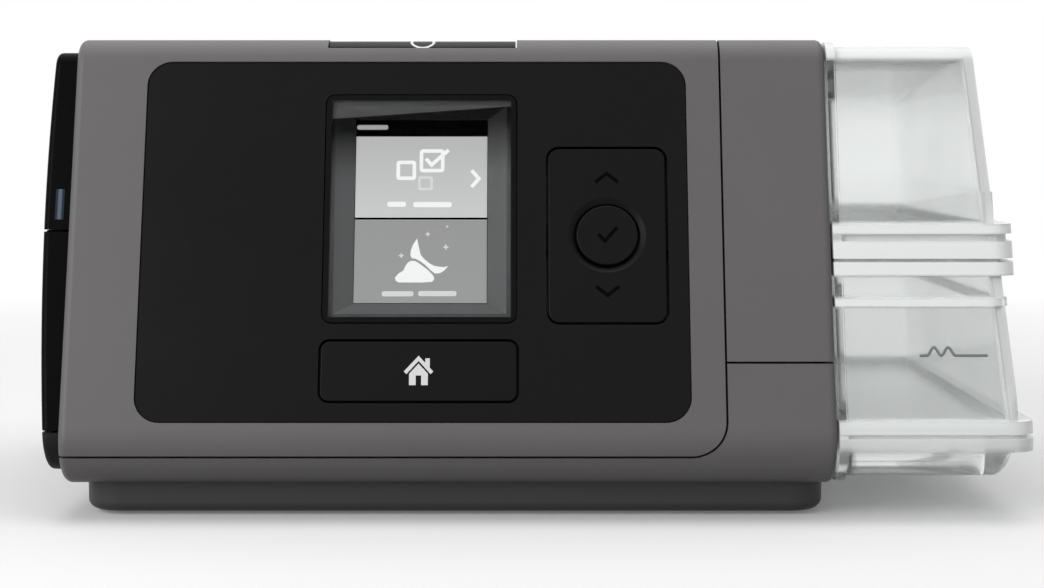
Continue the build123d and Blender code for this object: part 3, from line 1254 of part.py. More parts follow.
with BuildPart() as motor_cap:
    with BuildSketch(Plane.XY.offset(BLOWER_LOW_Z)) as cap:
        with Locations(AXIS):
            Circle(CAN_R)
    extrude(cap.sketch, amount=CAP_THICK)
    ring(CAN_LOW_Z, CAN_LOW_Z + BOSS_HEIGHT, BEARING_R + BOSS_WALL, BEARING_R)
write(motor_cap, "motor_cap")

with BuildPart() as motor_bearings:
    ring(CAN_LOW_Z, CAN_LOW_Z + BEARING_H, BEARING_R, SHAFT_R + RUN)
    ring(DECK_LOW_Z - BEARING_H, DECK_LOW_Z, BEARING_R, SHAFT_R + RUN)
write(motor_bearings, "motor_bearings")

with BuildPart() as motor_stator:
    stator_r = CAN_R - BLOWER_WALL - RUN
    bore_r = MAGNET_R + STATOR_GAP
    with BuildSketch(Plane.XY.offset(STATOR_LOW_Z)) as lamination:
        with Locations(AXIS):
            Circle(stator_r)
            Circle(stator_r - YOKE_WALL, mode=Mode.SUBTRACT)
            with PolarLocations((stator_r - YOKE_WALL / 2 + bore_r) / 2, STATOR_TEETH):
                Rectangle(stator_r - YOKE_WALL / 2 - bore_r, TOOTH_WIDTH)
            Circle(bore_r, mode=Mode.SUBTRACT)
    extrude(lamination.sketch, amount=STATOR_H)
write(motor_stator, "motor_stator")

with BuildPart() as motor_rotor:
    shaft_low = CAN_LOW_Z + SHAFT_NOSE / 2
    rod(Plane.XY.offset(shaft_low), *AXIS, SHAFT_R, WHEEL_LOW_Z + WHEEL_H + SHAFT_NOSE - shaft_low)
    rod(Plane.XY.offset(STATOR_LOW_Z), *AXIS, MAGNET_R, MAGNET_H)
write(motor_rotor, "motor_rotor")

with BuildSketch() as blade:
    with BuildLine():
        tip_x = (WHEEL_R - BLADE_THICK) * cos(radians(BLADE_SWEEP))
        tip_y = -(WHEEL_R - BLADE_THICK) * sin(radians(BLADE_SWEEP))
        middle = ((WHEEL_HUB_R + tip_x) / 2, tip_y / 2 + BLADE_BULGE)
        root = WHEEL_HUB_R - BLADE_THICK
        lead = ThreePointArc((root, 0), middle, (tip_x, tip_y))
        trail = ThreePointArc(
            (root, -BLADE_THICK), (middle[0], middle[1] - BLADE_THICK), (tip_x, tip_y - BLADE_THICK)
        )
        Line(lead @ 0, trail @ 0)
        Line(lead @ 1, trail @ 1)
    make_face()

with BuildPart() as impeller:
    ring(WHEEL_LOW_Z, WHEEL_LOW_Z + WHEEL_DISC, WHEEL_R, SHAFT_R)
    ring(WHEEL_LOW_Z, WHEEL_LOW_Z + WHEEL_H, WHEEL_HUB_R, SHAFT_R)
    with BuildSketch(Plane.XY.offset(WHEEL_LOW_Z)) as blades:
        with Locations(AXIS):
            with PolarLocations(0, BLADES):
                add(blade.sketch)
    extrude(blades.sketch, amount=WHEEL_H)
write(impeller, "impeller")

with BuildPart() as blower_cover:
    with BuildSketch(Plane.XY.offset(BLOWER_DECK_Z)) as scroll:
        with Locations(AXIS):
            add(scroll_outline.sketch)
    extrude(scroll.sketch, amount=BLOWER_TOP_Z - BLOWER_DECK_Z)
    stub_root = Plane.YZ.offset(SCROLL_RIGHT_X - BLOWER_WALL)
    rod(stub_root, PORT_IN_Y, STUB_Z, PORT_R + DUCT_WALL, BLOWER_WALL + SCROLL_STUB)
    with BuildSketch(Plane.XY.offset(BLOWER_DECK_Z)) as scroll_room:
        with Locations(AXIS):
            add(scroll_inside.sketch)
    extrude(scroll_room.sketch, amount=BLOWER_TOP_Z - BLOWER_WALL - BLOWER_DECK_Z, mode=Mode.SUBTRACT)
    rod(Plane.XY.offset(BLOWER_DECK_Z), *AXIS, EYE_R, BLOWER_TOP_Z, mode=Mode.SUBTRACT)
    rod(stub_root, PORT_IN_Y, STUB_Z, PORT_R, BLOWER_WALL + SCROLL_STUB, mode=Mode.SUBTRACT)
write(blower_cover, "blower_cover")

with BuildPart() as blower_mounts:
    with BuildSketch(Plane.XY.offset(BLOWER_LOW_Z - MOUNT_H)) as mounts:
        with Locations(AXIS):
            with PolarLocations(MOUNT_RING_R, MOUNTS):
                Circle(MOUNT_R)
    extrude(mounts.sketch, amount=MOUNT_H)
write(blower_mounts, "blower_mounts")

# ---------------------------------------------------------------- air path
with BuildPart() as inlet_sleeve:
    ring(BLOWER_TOP_Z, MUFFLER_LOW_Z, EYE_R + SLEEVE_WALL, EYE_R)
write(inlet_sleeve, "inlet_sleeve")

with BuildPart() as inlet_muffler:
    muffler_back = BACK_Y - WALL - FIT
    muffler_high = MUFFLER_LOW_Z + MUFFLER_TALL
    muffler_plan = rectangle(
        LEFT_X + MUFFLER_LEFT_IN, LEFT_X + MUFFLER_RIGHT_IN, MUFFLER_FRONT_Y, muffler_back, MUFFLER_R
    )
    upright(muffler_plan, MUFFLER_LOW_Z, muffler_high)
    with BuildSketch() as muffler_room:
        add(muffler_plan)
        offset(amount=-MUFFLER_WALL)
    room_low = MUFFLER_LOW_Z + MUFFLER_WALL
    upright(muffler_room.sketch, room_low, muffler_high - MUFFLER_WALL, mode=Mode.SUBTRACT)
    rod(Plane.XY.offset(MUFFLER_LOW_Z), *AXIS, EYE_R, MUFFLER_WALL, mode=Mode.SUBTRACT)
    filter_outline = plate(
        FILTER_X, FILTER_Z, FILTER_WIDTH - 2 * FILTER_FRAME, FILTER_TALL - 2 * FILTER_FRAME
    )
    from_front(filter_outline, muffler_back - MUFFLER_WALL, muffler_back, mode=Mode.SUBTRACT)
write(inlet_muffler, "inlet_muffler")

with BuildPart() as air_filter:
    from_front(filter_outline, muffler_back - FILTER_THICK, muffler_back)
write(air_filter, "air_filter")

with BuildPart() as filter_cover:
    door_low = FILTER_Z - FILTER_TALL / 2
    door_right = FILTER_X + FILTER_WIDTH / 2
    with BuildSketch(Plane.XY.offset(door_low)) as door_plan:
        add(rectangle(FILTER_AXIS_X, door_right, BACK_Y - WALL, BACK_Y))
        with Locations((FILTER_AXIS_X, BACK_Y - WALL / 2)):
            Circle(WALL / 2)
            Circle(DOOR_PIN_R + RUN, mode=Mode.SUBTRACT)
    extrude(door_plan.sketch, amount=FILTER_TALL)
    with BuildSketch(Plane.XZ.offset(-BACK_Y)) as louvres:
        with Locations((FILTER_X + WALL, FILTER_Z)):
            with GridLocations(0, LOUVRE_PITCH, 1, LOUVRES):
                SlotOverall(FILTER_WIDTH - 4 * WALL, LOUVRE_TALL)
    extrude(louvres.sketch, amount=WALL, mode=Mode.SUBTRACT)
write(filter_cover, "filter_cover")

with BuildPart() as filter_cover_pin:
    pin_low = Plane.XY.offset(door_low - DOOR_PIN_SEAT)
    rod(pin_low, FILTER_AXIS_X, BACK_Y - WALL / 2, DOOR_PIN_R, FILTER_TALL + 2 * DOOR_PIN_SEAT)
write(filter_cover_pin, "filter_cover_pin")

with BuildPart() as flow_duct:
    riser_x = BAY_LEFT - SEAL_BACK - DUCT_BEND_R - FIT
    duct_points = [
        (SCROLL_RIGHT_X + SCROLL_STUB, PORT_IN_Y, STUB_Z),
        (riser_x, PORT_IN_Y, STUB_Z),
        (riser_x, PORT_IN_Y, PORT_Z),
        (BAY_LEFT - SEAL_BACK, PORT_IN_Y, PORT_Z),
    ]
    pipe(duct_points, DUCT_BEND_R, PORT_R + DUCT_WALL)
    pipe(duct_points, DUCT_BEND_R, PORT_R, mode=Mode.SUBTRACT)
write(flow_duct, "flow_duct")

CUP_FLOOR_Y = BACK_Y - OUTLET_SPIGOT - O_RING
with BuildPart() as outlet_elbow:
    cup_base = CUP_FLOOR_Y - SOCKET_CUP_WALL
    elbow_points = [
        (BAY_LEFT - SEAL_BACK, PORT_OUT_Y, PORT_Z),
        (OUTLET_X, PORT_OUT_Y, PORT_Z),
        (OUTLET_X, CUP_FLOOR_Y, PORT_Z),
    ]
    pipe(elbow_points, ELBOW_R, PORT_R + ELBOW_WALL)
    cup_start = Plane.XZ.offset(WALL - BACK_Y)
    cup_long = BACK_Y - WALL - cup_base
    rod(cup_start, OUTLET_X, PORT_Z, OUTLET_R + FIT + SOCKET_CUP_WALL, cup_long)
    cup_room = BACK_Y - WALL - CUP_FLOOR_Y
    rod(cup_start, OUTLET_X, PORT_Z, OUTLET_R + FIT, cup_room, mode=Mode.SUBTRACT)
    pipe(elbow_points, ELBOW_R, PORT_R, mode=Mode.SUBTRACT)
write(outlet_elbow, "outlet_elbow")

with BuildPart() as outlet_seal:
    seal_plane = Plane.XZ.offset(OUTLET_SPIGOT - BACK_Y)
    rod(seal_plane, OUTLET_X, PORT_Z, OUTLET_R, O_RING)
    rod(seal_plane, OUTLET_X, PORT_Z, OUTLET_BORE_R, O_RING, mode=Mode.SUBTRACT)
write(outlet_seal, "outlet_seal")

with BuildPart() as air_outlet:
    outlet_tip = Plane.XZ.offset(-BACK_Y - OUTLET_REACH)
    outlet_long = OUTLET_REACH + OUTLET_SPIGOT
    rod(outlet_tip, OUTLET_X, PORT_Z, OUTLET_R, outlet_long)
    collar_plane = Plane.XZ.offset(-BACK_Y - OUTLET_COLLAR)
    rod(collar_plane, OUTLET_X, PORT_Z, OUTLET_COLLAR_R, OUTLET_COLLAR)
    rod(outlet_tip, OUTLET_X, PORT_Z, OUTLET_BORE_R, outlet_long, mode=Mode.SUBTRACT)
write(air_outlet, "air_outlet")

# ---------------------------------------------------------------- power socket and its clip
with BuildPart() as power_inlet:
    body = plate(OUTLET_X, SOCKET_Z, SOCKET_WIDTH, SOCKET_TALL)
    from_front(body, BACK_Y - SOCKET_LONG, BACK_Y)
    frame = plate(
        OUTLET_X, SOCKET_Z, SOCKET_WIDTH + 2 * SOCKET_FRAME, SOCKET_TALL + 2 * SOCKET_FRAME, WALL
    )
    socket_back = BACK_Y + SOCKET_FRAME_THICK
    from_front(frame, BACK_Y, socket_back)
    room = plate(
        OUTLET_X, SOCKET_Z, SOCKET_WIDTH - 2 * SOCKET_WALL, SOCKET_TALL - 2 * SOCKET_WALL, WALL
    )
    from_front(room, socket_back - SOCKET_RECESS, socket_back, mode=Mode.SUBTRACT)
    with BuildSketch(Plane.XZ.offset(SOCKET_RECESS - socket_back)) as contacts:
        with Locations((OUTLET_X, SOCKET_Z)):
            with GridLocations(SOCKET_PIN_STEP, 0, SOCKET_PINS, 1):
                Circle(SOCKET_PIN_R)
    extrude(contacts.sketch, amount=-SOCKET_PIN_LONG)
write(power_inlet, "power_inlet")

with BuildPart() as retention_clip:
    half_span = CLIP_SPAN / 2
    with BuildSketch(Plane.XZ.offset(-CLIP_Y - CLIP_BAR / 2)) as bail:
        add(rectangle(OUTLET_X - half_span, OUTLET_X + half_span, CLIP_Z - CLIP_LONG, CLIP_Z))
        add(
            rectangle(
                OUTLET_X - half_span + CLIP_ARM,
                OUTLET_X + half_span - CLIP_ARM,
                CLIP_Z - CLIP_LONG + CLIP_ARM,
                CLIP_Z,
            ),
            mode=Mode.SUBTRACT,
        )
    extrude(bail.sketch, amount=CLIP_BAR)
    for eye_x in (OUTLET_X - half_span, OUTLET_X + half_span - CLIP_ARM):
        rod(Plane.YZ.offset(eye_x), CLIP_Y, CLIP_Z, CLIP_EYE_R, CLIP_ARM)
    bore_start = Plane.YZ.offset(OUTLET_X - half_span)
    rod(bore_start, CLIP_Y, CLIP_Z, CLIP_PIN_R + RUN, CLIP_SPAN, mode=Mode.SUBTRACT)
write(retention_clip, "retention_clip")

with BuildPart() as clip_pin:
    pin_reach = half_span + FIT + EAR_THICK
    rod(Plane.YZ.offset(OUTLET_X - pin_reach), CLIP_Y, CLIP_Z, CLIP_PIN_R, 2 * pin_reach)
write(clip_pin, "clip_pin")
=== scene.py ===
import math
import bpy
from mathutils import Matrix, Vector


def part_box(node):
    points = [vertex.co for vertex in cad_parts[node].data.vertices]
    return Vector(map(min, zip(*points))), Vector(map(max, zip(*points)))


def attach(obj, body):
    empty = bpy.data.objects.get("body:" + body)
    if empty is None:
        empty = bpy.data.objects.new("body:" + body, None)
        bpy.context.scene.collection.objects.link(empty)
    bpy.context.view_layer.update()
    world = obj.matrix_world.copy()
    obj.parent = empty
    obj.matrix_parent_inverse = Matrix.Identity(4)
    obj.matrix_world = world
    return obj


bl_info = {
    "name": "Bedside CPAP Machine",
    "version": (1, 0, 0),
    "blender": (4, 5, 0),
    "location": "View3D > Sidebar > CPAP",
    "description": "Finishes, screen picture, printed marks and stage of a bedside CPAP machine",
    "category": "Object",
}

import bmesh
import bpy
from mathutils import Matrix, Vector

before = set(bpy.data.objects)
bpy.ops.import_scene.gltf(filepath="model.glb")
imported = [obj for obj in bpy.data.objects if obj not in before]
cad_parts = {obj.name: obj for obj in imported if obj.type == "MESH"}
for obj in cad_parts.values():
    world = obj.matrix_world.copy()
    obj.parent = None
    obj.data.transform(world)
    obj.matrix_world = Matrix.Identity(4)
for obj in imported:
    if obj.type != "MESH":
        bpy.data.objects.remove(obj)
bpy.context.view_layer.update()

# A millimetre in metres, and a metre in millimetres. The sizes up here and those of the finishes and flat
# shapes are in millimetres. The stage, the recipes and what is placed by them are in metres.
MM = 0.001
METRE = 1000.0

# The leaning face: a point near it is given by x, the distance up the face and its lift off the face.
# The keys and the display lie this far behind it, and the display is about that much lower for its depth.
LEAN = math.radians(18.0)
FACE_Y = -81.331
KEY_SUNK = 0.3
DISPLAY_DEPTH = 3.4
DISPLAY_DROP = 1.0

# The crest: a round of this radius, then a top that falls to the back. The start button lies just below it.
CREST_Y = -41.056
CREST_Z = 101.3
CREST_R = 7.0
START_SUNK = 0.3
TOP_FALL = math.radians(6.5)

# The middles of the display and the key pad across, those of the home key and the pad up the face, and
# the edges of the display's window.
SCREEN_X = -26.0
PAD_X = 16.4
HOME_V = 35.5
PAD_V = 66.993
VIEW_HALF = 15.25
VIEW_LOW = 51.55
VIEW_HIGH = 95.236

# The lit picture: the thickness of each film, and the gaps at the tiles' edges, the sides and the header.
FILM = 0.03
TILE_GAP = 0.25
SIDE_GAP = 0.15
HEADER_GAP = 0.1
# A crescent that lies on its back and the hill in front of it, from the display's middle and the split.
MOON = (
    (-0.85, -4.7), (-1.75, -6.2), (-2.25, -7.6), (-2.3, -8.7), (-2.0, -9.35), (-1.1, -9.5), (-0.1, -10.05),
    (1.1, -10.95), (2.3, -12.15), (3.3, -12.95), (4.4, -12.9), (5.4, -12.3), (6.3, -11.2), (5.3, -11.45),
    (4.2, -11.35), (3.1, -11.15), (2.0, -10.55), (0.9, -9.6), (0.05, -8.6), (-0.3, -7.2),
)
HILL = (
    (-5.6, -14.6), (-5.75, -13.9), (-4.9, -12.9), (-3.9, -12.3), (-3.4, -11.2), (-2.9, -10.4), (-2.2, -10.0),
    (-1.3, -10.0), (-0.4, -10.5), (0.7, -11.35), (1.9, -12.3), (2.9, -13.4), (3.2, -14.2), (2.7, -14.9),
    (0.5, -15.05), (-4.9, -15.05),
)

# Printed marks: how far the ink goes into a key and stands out of it, and the width of its lines.
INK_SUNK = 0.005
INK_PROUD = 0.03
PAD_LINE = 0.8
START_LINE = 0.6

# The slope round the display: where its painted shade begins up the face and how that edge tilts, how far
# down it fades, how dark it is below the edge and above it, and how deep the rim's black, painted shade for
# its groove, reaches.
SHADE_EDGE = 96.0
SHADE_TILT = 0.073
SHADE_FADE = 15.0
SHADE_BELOW = 1.25
SHADE_ABOVE = 0.15
RIM_SHADE_DEPTH = 0.75
RIM_SHADE_FADE = 0.25

# The water tub by height: how light its walls are, which is painted shade, and where its ribs are white and
# dense, which is painted highlight for the bright bands on its flanges and crown.
TALL = 108.3
TUB_PAINTED_SHADE = (
    (14, 1.0), (23, 0.92), (36.3, 0.91), (37.3, 0.91), (46.8, 0.89), (50.2, 0.95), (62, 0.97), (73, 0.95),
    (76, 0.98), (88, 0.96), (94, 0.90), (103, 0.78),
)
TUB_RIB_HIGHLIGHT = (
    (14, 0.05), (16.2, 0.4), (17.2, 0.8), (22.4, 0.85), (23.2, 0.0), (47.2, 0.0), (47.9, 1.0), (49.2, 1.0),
    (50.0, 0.0), (54.0, 0.0), (54.8, 1.0), (61.8, 1.0), (62.5, 0.6), (63.3, 0.6), (64.2, 1.0), (65.6, 1.0),
    (66.6, 0.0), (103.2, 0.0), (104.2, 0.8),
)
# The tub's end wall leans: its outer side at the foot and at the crown, x then z.
TUB_END_FOOT = (108.0, 22.7)
TUB_END_CROWN = (101.4, TALL)
# The pale corner of the tub's front and end walls, a painted highlight: how far it reaches from each, over
# what distance it fades, and how dense its white is.
CORNER_WIDE = 3.12
CORNER_WIDE_FADE = 1.2
CORNER_DEEP = 6.24
CORNER_DEEP_FADE = 2.4
CORNER_HIGHLIGHT = 0.72
# The tub's front is set back from the leaning face, square to it, and the level mark stands out from it.
TUB_SET_BACK = 1.6
MARK_PROUD = 0.06

# The stage, in metres: half the floor's side, how far its paper reaches and over what width it turns plain
# white, the share of white on the paper, how light it is for rays that aren't seen, and what the lamps face.
FLOOR_HALF = 4.0
PAPER_REACH = 0.26
PAPER_FADE = 0.4
PAPER_WHITE = 0.12
PAPER_DIM = 0.35
LAMP_TARGET = Vector((0.0, 0.0, 0.05))

# Laying out nodes: how many stand in a row, and the room that each takes.
ROW_NODES = 8
NODE_ROOM = (220, 260)


# ---------------------------------------------------------------- node trees
class Signal:
    """A node's output that answers to arithmetic."""

    def __init__(self, home, socket):
        self.home = home
        self.socket = socket

    def math(self, operation, *others):
        return self.home.math(operation, self, *others)

    def __add__(self, other):
        return self.math("ADD", other)

    def __sub__(self, other):
        return self.math("SUBTRACT", other)

    def __rsub__(self, other):
        return self.home.math("SUBTRACT", other, self)

    def __mul__(self, other):
        return self.math("MULTIPLY", other)

    __radd__ = __add__
    __rmul__ = __mul__

    def __truediv__(self, other):
        return self.math("DIVIDE", other)

    def __lt__(self, other):
        return self.math("LESS_THAN", other)

    def __gt__(self, other):
        return self.math("GREATER_THAN", other)

    def clamp(self):
        return self.home.add("ShaderNodeClamp", None, {"Value": self})


class Layout:
    """A node tree while it is being laid out."""

    def __init__(self, tree):
        self.tree = tree
        self.tree.nodes.clear()

    def add(self, kind, settings=None, sockets=None, out=0):
        """Add a node, its settings first, then the values or links of its sockets, and give its output."""
        node = self.tree.nodes.new(kind)
        row, column = divmod(len(self.tree.nodes), ROW_NODES)
        node.location = (NODE_ROOM[0] * column, -NODE_ROOM[1] * row)
        for key, value in (settings or {}).items():
            if key == "stops":
                ramp = node.color_ramp.elements
                ramp.remove(ramp[1])
                ramp[0].position, ramp[0].color = value[0]
                for place, colour in value[1:]:
                    ramp.new(place).color = colour
            else:
                setattr(node, key, value)
        pairs = sockets.items() if isinstance(sockets, dict) else enumerate(sockets or ())
        for key, value in pairs:
            for item in value if isinstance(value, list) else [value]:
                if isinstance(item, Signal):
                    self.tree.links.new(item.socket, node.inputs[key])
                else:
                    node.inputs[key].default_value = item
        return Signal(self, node.outputs[out]) if node.outputs else None

    def math(self, operation, *values):
        """A Math node on these values."""
        return self.add("ShaderNodeMath", {"operation": operation}, values)

    def seen(self):
        """One for rays that come from the camera, a gloss or a clear piece, and nought for others."""
        camera, gloss, clear = (
            self.add("ShaderNodeLightPath", None, None, f"Is {kind} Ray")
            for kind in ("Camera", "Glossy", "Transmission")
        )
        return (camera + gloss + clear).clamp()


class Finish(Layout):
    """A material while its nodes are being laid out. Its patterns read Object coordinates."""

    def __init__(self, name):
        self.material = bpy.data.materials.new(name)
        self.material.use_nodes = True
        super().__init__(self.material.node_tree)
        self.place = self.add("ShaderNodeTexCoord", None, None, "Object")

    def axis(self, name):
        """One of the coordinates, in metres."""
        return self.add("ShaderNodeSeparateXYZ", None, (self.place,), name)

    def axis_mm(self, name):
        """One of the coordinates, in millimetres."""
        return self.axis(name) * METRE

    def stripes(self, name, per_metre, share):
        """One on a share of each stripe along an axis, and nought on the rest of it."""
        return (self.axis(name) * per_metre).math("FRACT") < share

    def noise(self, size, detail=2.0, rough=0.5):
        """Cloudy noise whose patches are about this size in millimetres."""
        sockets = {"Vector": self.place, "Scale": METRE / size, "Detail": detail, "Roughness": rough}
        return self.add("ShaderNodeTexNoise", None, sockets, "Fac")

    def specks(self, size):
        """Distance to the nearest of scattered points about this far apart in millimetres."""
        sockets = {"Vector": self.place, "Scale": METRE / size}
        return self.add("ShaderNodeTexVoronoi", None, sockets, "Distance")

    def blend(self, factor, first, second, how="MIX"):
        """Mix two colours. The node's sockets 6 and 7 take a colour, and its output 2 gives one."""
        settings = {"data_type": "RGBA", "blend_type": how}
        return self.add("ShaderNodeMix", settings, {0: factor, 6: first, 7: second}, 2)

    def bump(self, height, depth, strength):
        """A normal raised by a height. The depth is in millimetres."""
        sockets = {"Height": height, "Strength": strength, "Distance": depth * MM}
        return self.add("ShaderNodeBump", None, sockets)

    def graded(self, level, grades):
        """A grey that follows a level: pairs of a level between nought and one, and a grey."""
        stops = [(place, (grey, grey, grey, 1.0)) for place, grey in grades]
        return self.add("ShaderNodeValToRGB", {"stops": stops}, (level,))

    def surface(self, **sockets):
        """A principled shader."""
        named = {key.replace("_", " "): value for key, value in sockets.items()}
        return self.add("ShaderNodeBsdfPrincipled", None, named)

    def finished(self, surface):
        """Close the material with a shader."""
        self.add("ShaderNodeOutputMaterial", None, {"Surface": surface})
        return self.material

    def close(self, **sockets):
        """Close the material with one principled shader."""
        return self.finished(self.surface(**sockets))


def shade(colour, factor):
    """A colour made lighter or darker, with its alpha."""
    return (*(min(part * factor, 1.0) for part in colour[:3]), 1.0)


# ---------------------------------------------------------------- finishes
def moulded(name, colour, rough, grain_size, grain_depth, mottle=0.05, shine=0.3):
    """Plastic straight from a spark-eroded mould: fine grain, and a slight cloudiness."""
    finish = Finish(name)
    grain = finish.noise(grain_size, 3.0, 0.6)
    cloud = finish.noise(34.0, 3.0)
    return finish.close(
        Base_Color=finish.blend(cloud, shade(colour, 1 - mottle), shade(colour, 1 + mottle)),
        Roughness=(grain - 0.5) * 0.12 + rough + (cloud - 0.5) * 0.06,
        Specular_IOR_Level=shine,
        Normal=finish.bump(grain, grain_depth, 0.6),
    )


def polished(name, colour, rough, shine=0.12):
    """Dark gloss plastic with faint smears and a few specks of dust."""
    finish = Finish(name)
    smear = finish.noise(28.0, 4.0, 0.62)
    dust = (finish.specks(4.3) < 0.035) * (finish.noise(11.0) > 0.5)
    return finish.close(
        Base_Color=finish.blend(dust * 0.35, shade(colour, 1.0), shade(colour, 4.0)),
        Roughness=(smear - 0.5) * 0.16 + rough + dust * 0.3,
        Specular_IOR_Level=shine,
        Normal=finish.bump(finish.noise(9.0, 1.0), 0.012, 0.25),
    )


def rubbery(name, colour):
    """Moulded rubber: matt, with a powdery bloom."""
    finish = Finish(name)
    bloom = finish.noise(3.0, 4.0)
    return finish.close(
        Base_Color=finish.blend(bloom, shade(colour, 0.8), shade(colour, 1.5)),
        Roughness=bloom * 0.15 + 0.72,
        Normal=finish.bump(finish.noise(0.35, 2.0), 0.02, 0.5),
    )


def turned_steel(name, colour, rough):
    """Plated steel with faint marks across it."""
    finish = Finish(name)
    marks = finish.noise(0.5, 4.0, 0.7)
    return finish.close(
        Base_Color=finish.blend(marks, shade(colour, 0.85), shade(colour, 1.1)),
        Metallic=1.0,
        Roughness=marks * 0.14 + rough,
        Normal=finish.bump(marks, 0.006, 0.4),
    )


def stacked_sheet(name, colour):
    """Motor laminations: thin sheets stacked along Z."""
    finish = Finish(name)
    line = finish.stripes("Z", per_metre=2000.0, share=0.18)
    return finish.close(
        Base_Color=finish.blend(line, shade(colour, 1.0), shade(colour, 0.35)),
        Metallic=0.8,
        Roughness=finish.noise(1.0) * 0.2 + 0.38,
        Normal=finish.bump(line, -0.03, 0.6),
    )


def board_finish(name, colour):
    """Solder mask over copper tracks that run square to each other."""
    finish = Finish(name)
    across, along = (finish.stripes(letter, per_metre=420.0, share=0.3) for letter in "XZ")
    patch = finish.noise(7.0) > 0.52
    tracks = across * patch + along * (1 - patch)
    return finish.close(
        Base_Color=finish.blend(tracks, shade(colour, 1.0), shade(colour, 1.9)),
        Roughness=finish.noise(4.0) * 0.1 + 0.34,
        Normal=finish.bump(tracks, 0.03, 0.5),
    )


def woven(name, colour, pitch):
    """Fibre mat or cloth with a fine weave."""
    finish = Finish(name)
    turns = METRE * math.tau / pitch
    warp, weft = ((finish.axis(letter) * turns).math("SINE") for letter in "XZ")
    knots = warp * weft * 0.5 + 0.5
    fluff = finish.noise(1.1, 5.0, 0.7)
    return finish.close(
        Base_Color=finish.blend(fluff, shade(colour, 0.82), shade(colour, 1.08)),
        Roughness=fluff * 0.1 + 0.85,
        Normal=finish.bump(knots * 0.5 + fluff, 0.12, 0.6),
        Sheen_Weight=0.3,
    )


def clear_plastic(name, colour, rough, ior):
    """Clear moulded plastic: polished, with slight waves in its walls."""
    finish = Finish(name)
    return finish.close(
        Base_Color=shade(colour, 1.0),
        Transmission_Weight=1.0,
        IOR=ior,
        Roughness=finish.noise(60.0, 3.0) * 0.05 + rough,
        Normal=finish.bump(finish.noise(26.0, 1.0), 0.05, 0.3),
    )


def clear_plastic_painted_light(name, colour, rough, painted_shades, ribs):
    """Clear plastic: painted shade on its walls by height, and painted highlight as white ribs and a pale
    corner.
    """
    finish = Finish(name)
    across, deep, up = (finish.axis_mm(letter) for letter in "XYZ")
    level = up / TALL
    drift = (finish.noise(38.0, 2.0) - 0.5) * 0.035 + level
    # Painted shade: the walls' colour is darkened by height.
    painted_shade = finish.graded(drift, [(height / TALL, grey) for height, grey in painted_shades])
    # Painted highlight: dense white on the ribs and the crown, for their bright bands.
    rib_highlight = finish.graded(level, [(height / TALL, grey) for height, grey in ribs])
    slant = (TUB_END_CROWN[0] - TUB_END_FOOT[0]) / (TUB_END_CROWN[1] - TUB_END_FOOT[1])
    end = (up - TUB_END_FOOT[1]) * slant + TUB_END_FOOT[0]
    behind = deep - FACE_Y - up * math.tan(LEAN)
    # Painted highlight where the front and end walls meet.
    beside_end = ((across - end + CORNER_WIDE) / CORNER_WIDE_FADE).clamp()
    near_front = ((CORNER_DEEP - behind) / CORNER_DEEP_FADE).clamp()
    dense = rib_highlight.math("MAXIMUM", beside_end * near_front * CORNER_HIGHLIGHT)
    haze = finish.noise(22.0, 3.0) * 0.1 + rough
    ripple = finish.bump(finish.noise(16.0, 1.0), 0.08, 0.3)
    walls = finish.surface(
        Base_Color=finish.blend(1.0, painted_shade, shade(colour, 1.0), "MULTIPLY"),
        Transmission_Weight=0.95,
        IOR=1.2,
        Roughness=haze,
        Specular_IOR_Level=0.3,
        Normal=ripple,
    )
    # The white surface that carries the painted highlights.
    white = finish.surface(
        Base_Color=shade(colour, 1.03),
        IOR=1.45,
        Roughness=haze + 0.1,
        Specular_IOR_Level=0.5,
        Normal=ripple,
    )
    return finish.finished(finish.add("ShaderNodeMixShader", None, (dense, walls, white)))


def light_guide(name, colour, middle, half, edge, strength):
    """A lit strip: a pale core down its middle, with a soft edge, and dark blue sides."""
    finish = Finish(name)
    off = (finish.axis_mm("X") - middle).math("ABSOLUTE")
    core = ((half - off) / edge).clamp()
    return finish.close(
        Base_Color=(0.01, 0.012, 0.016, 1.0),
        Emission_Color=finish.blend(core, (0.004, 0.012, 0.030, 1.0), shade(colour, 1.0)),
        Emission_Strength=strength,
        Roughness=finish.noise(2.0) * 0.1 + 0.3,
        Specular_IOR_Level=0.1,
    )


def screen_slope(name, colour):
    """The frame round the display: a black rim and a slope darkening to its top, both painted shade."""
    finish = Finish(name)
    across, deep, high = (finish.axis_mm(letter) for letter in "XYZ")
    lift = high * math.sin(LEAN) - (deep - FACE_Y) * math.cos(LEAN)
    # Painted shade on the slope: darkest just below a tilted edge near its top, fading down it, and faint
    # above that edge.
    under = (across - SCREEN_X) * SHADE_TILT + SHADE_EDGE - high / math.cos(LEAN)
    below = (under > 0.0) * (1 - under / SHADE_FADE).clamp() * SHADE_BELOW
    above = (under < 0.0) * SHADE_ABOVE
    # The rim's black is painted shade for the groove round the frame.
    rim = ((lift + RIM_SHADE_DEPTH) / RIM_SHADE_FADE).clamp()
    dark = (below + above + rim).clamp()
    grain = finish.noise(0.3, 3.0)
    return finish.close(
        Base_Color=finish.blend(dark, shade(colour, 1.0), (0.002, 0.002, 0.002, 1.0)),
        Roughness=grain * 0.1 + 0.35,
        Specular_IOR_Level=0.08,
        Normal=finish.bump(grain, 0.01, 0.5),
    )


def lit_tile(name, low, high, low_z, high_z, strength):
    """A patch of the display whose colour changes evenly up it, with faint pixel rows."""
    finish = Finish(name)
    up = ((finish.axis("Z") - low_z * MM) / ((high_z - low_z) * MM)).clamp()
    rows = finish.stripes("Z", per_metre=5200.0, share=0.22)
    lit = finish.blend(up, shade(low, 1.0), shade(high, 1.0))
    return finish.close(
        Base_Color=(0.01, 0.01, 0.01, 1.0),
        Emission_Color=finish.blend(rows * 0.06, lit, (0.0, 0.0, 0.0, 1.0)),
        Emission_Strength=strength,
        Specular_IOR_Level=0.0,
        Roughness=finish.noise(5.0) * 0.05 + 0.35,
    )


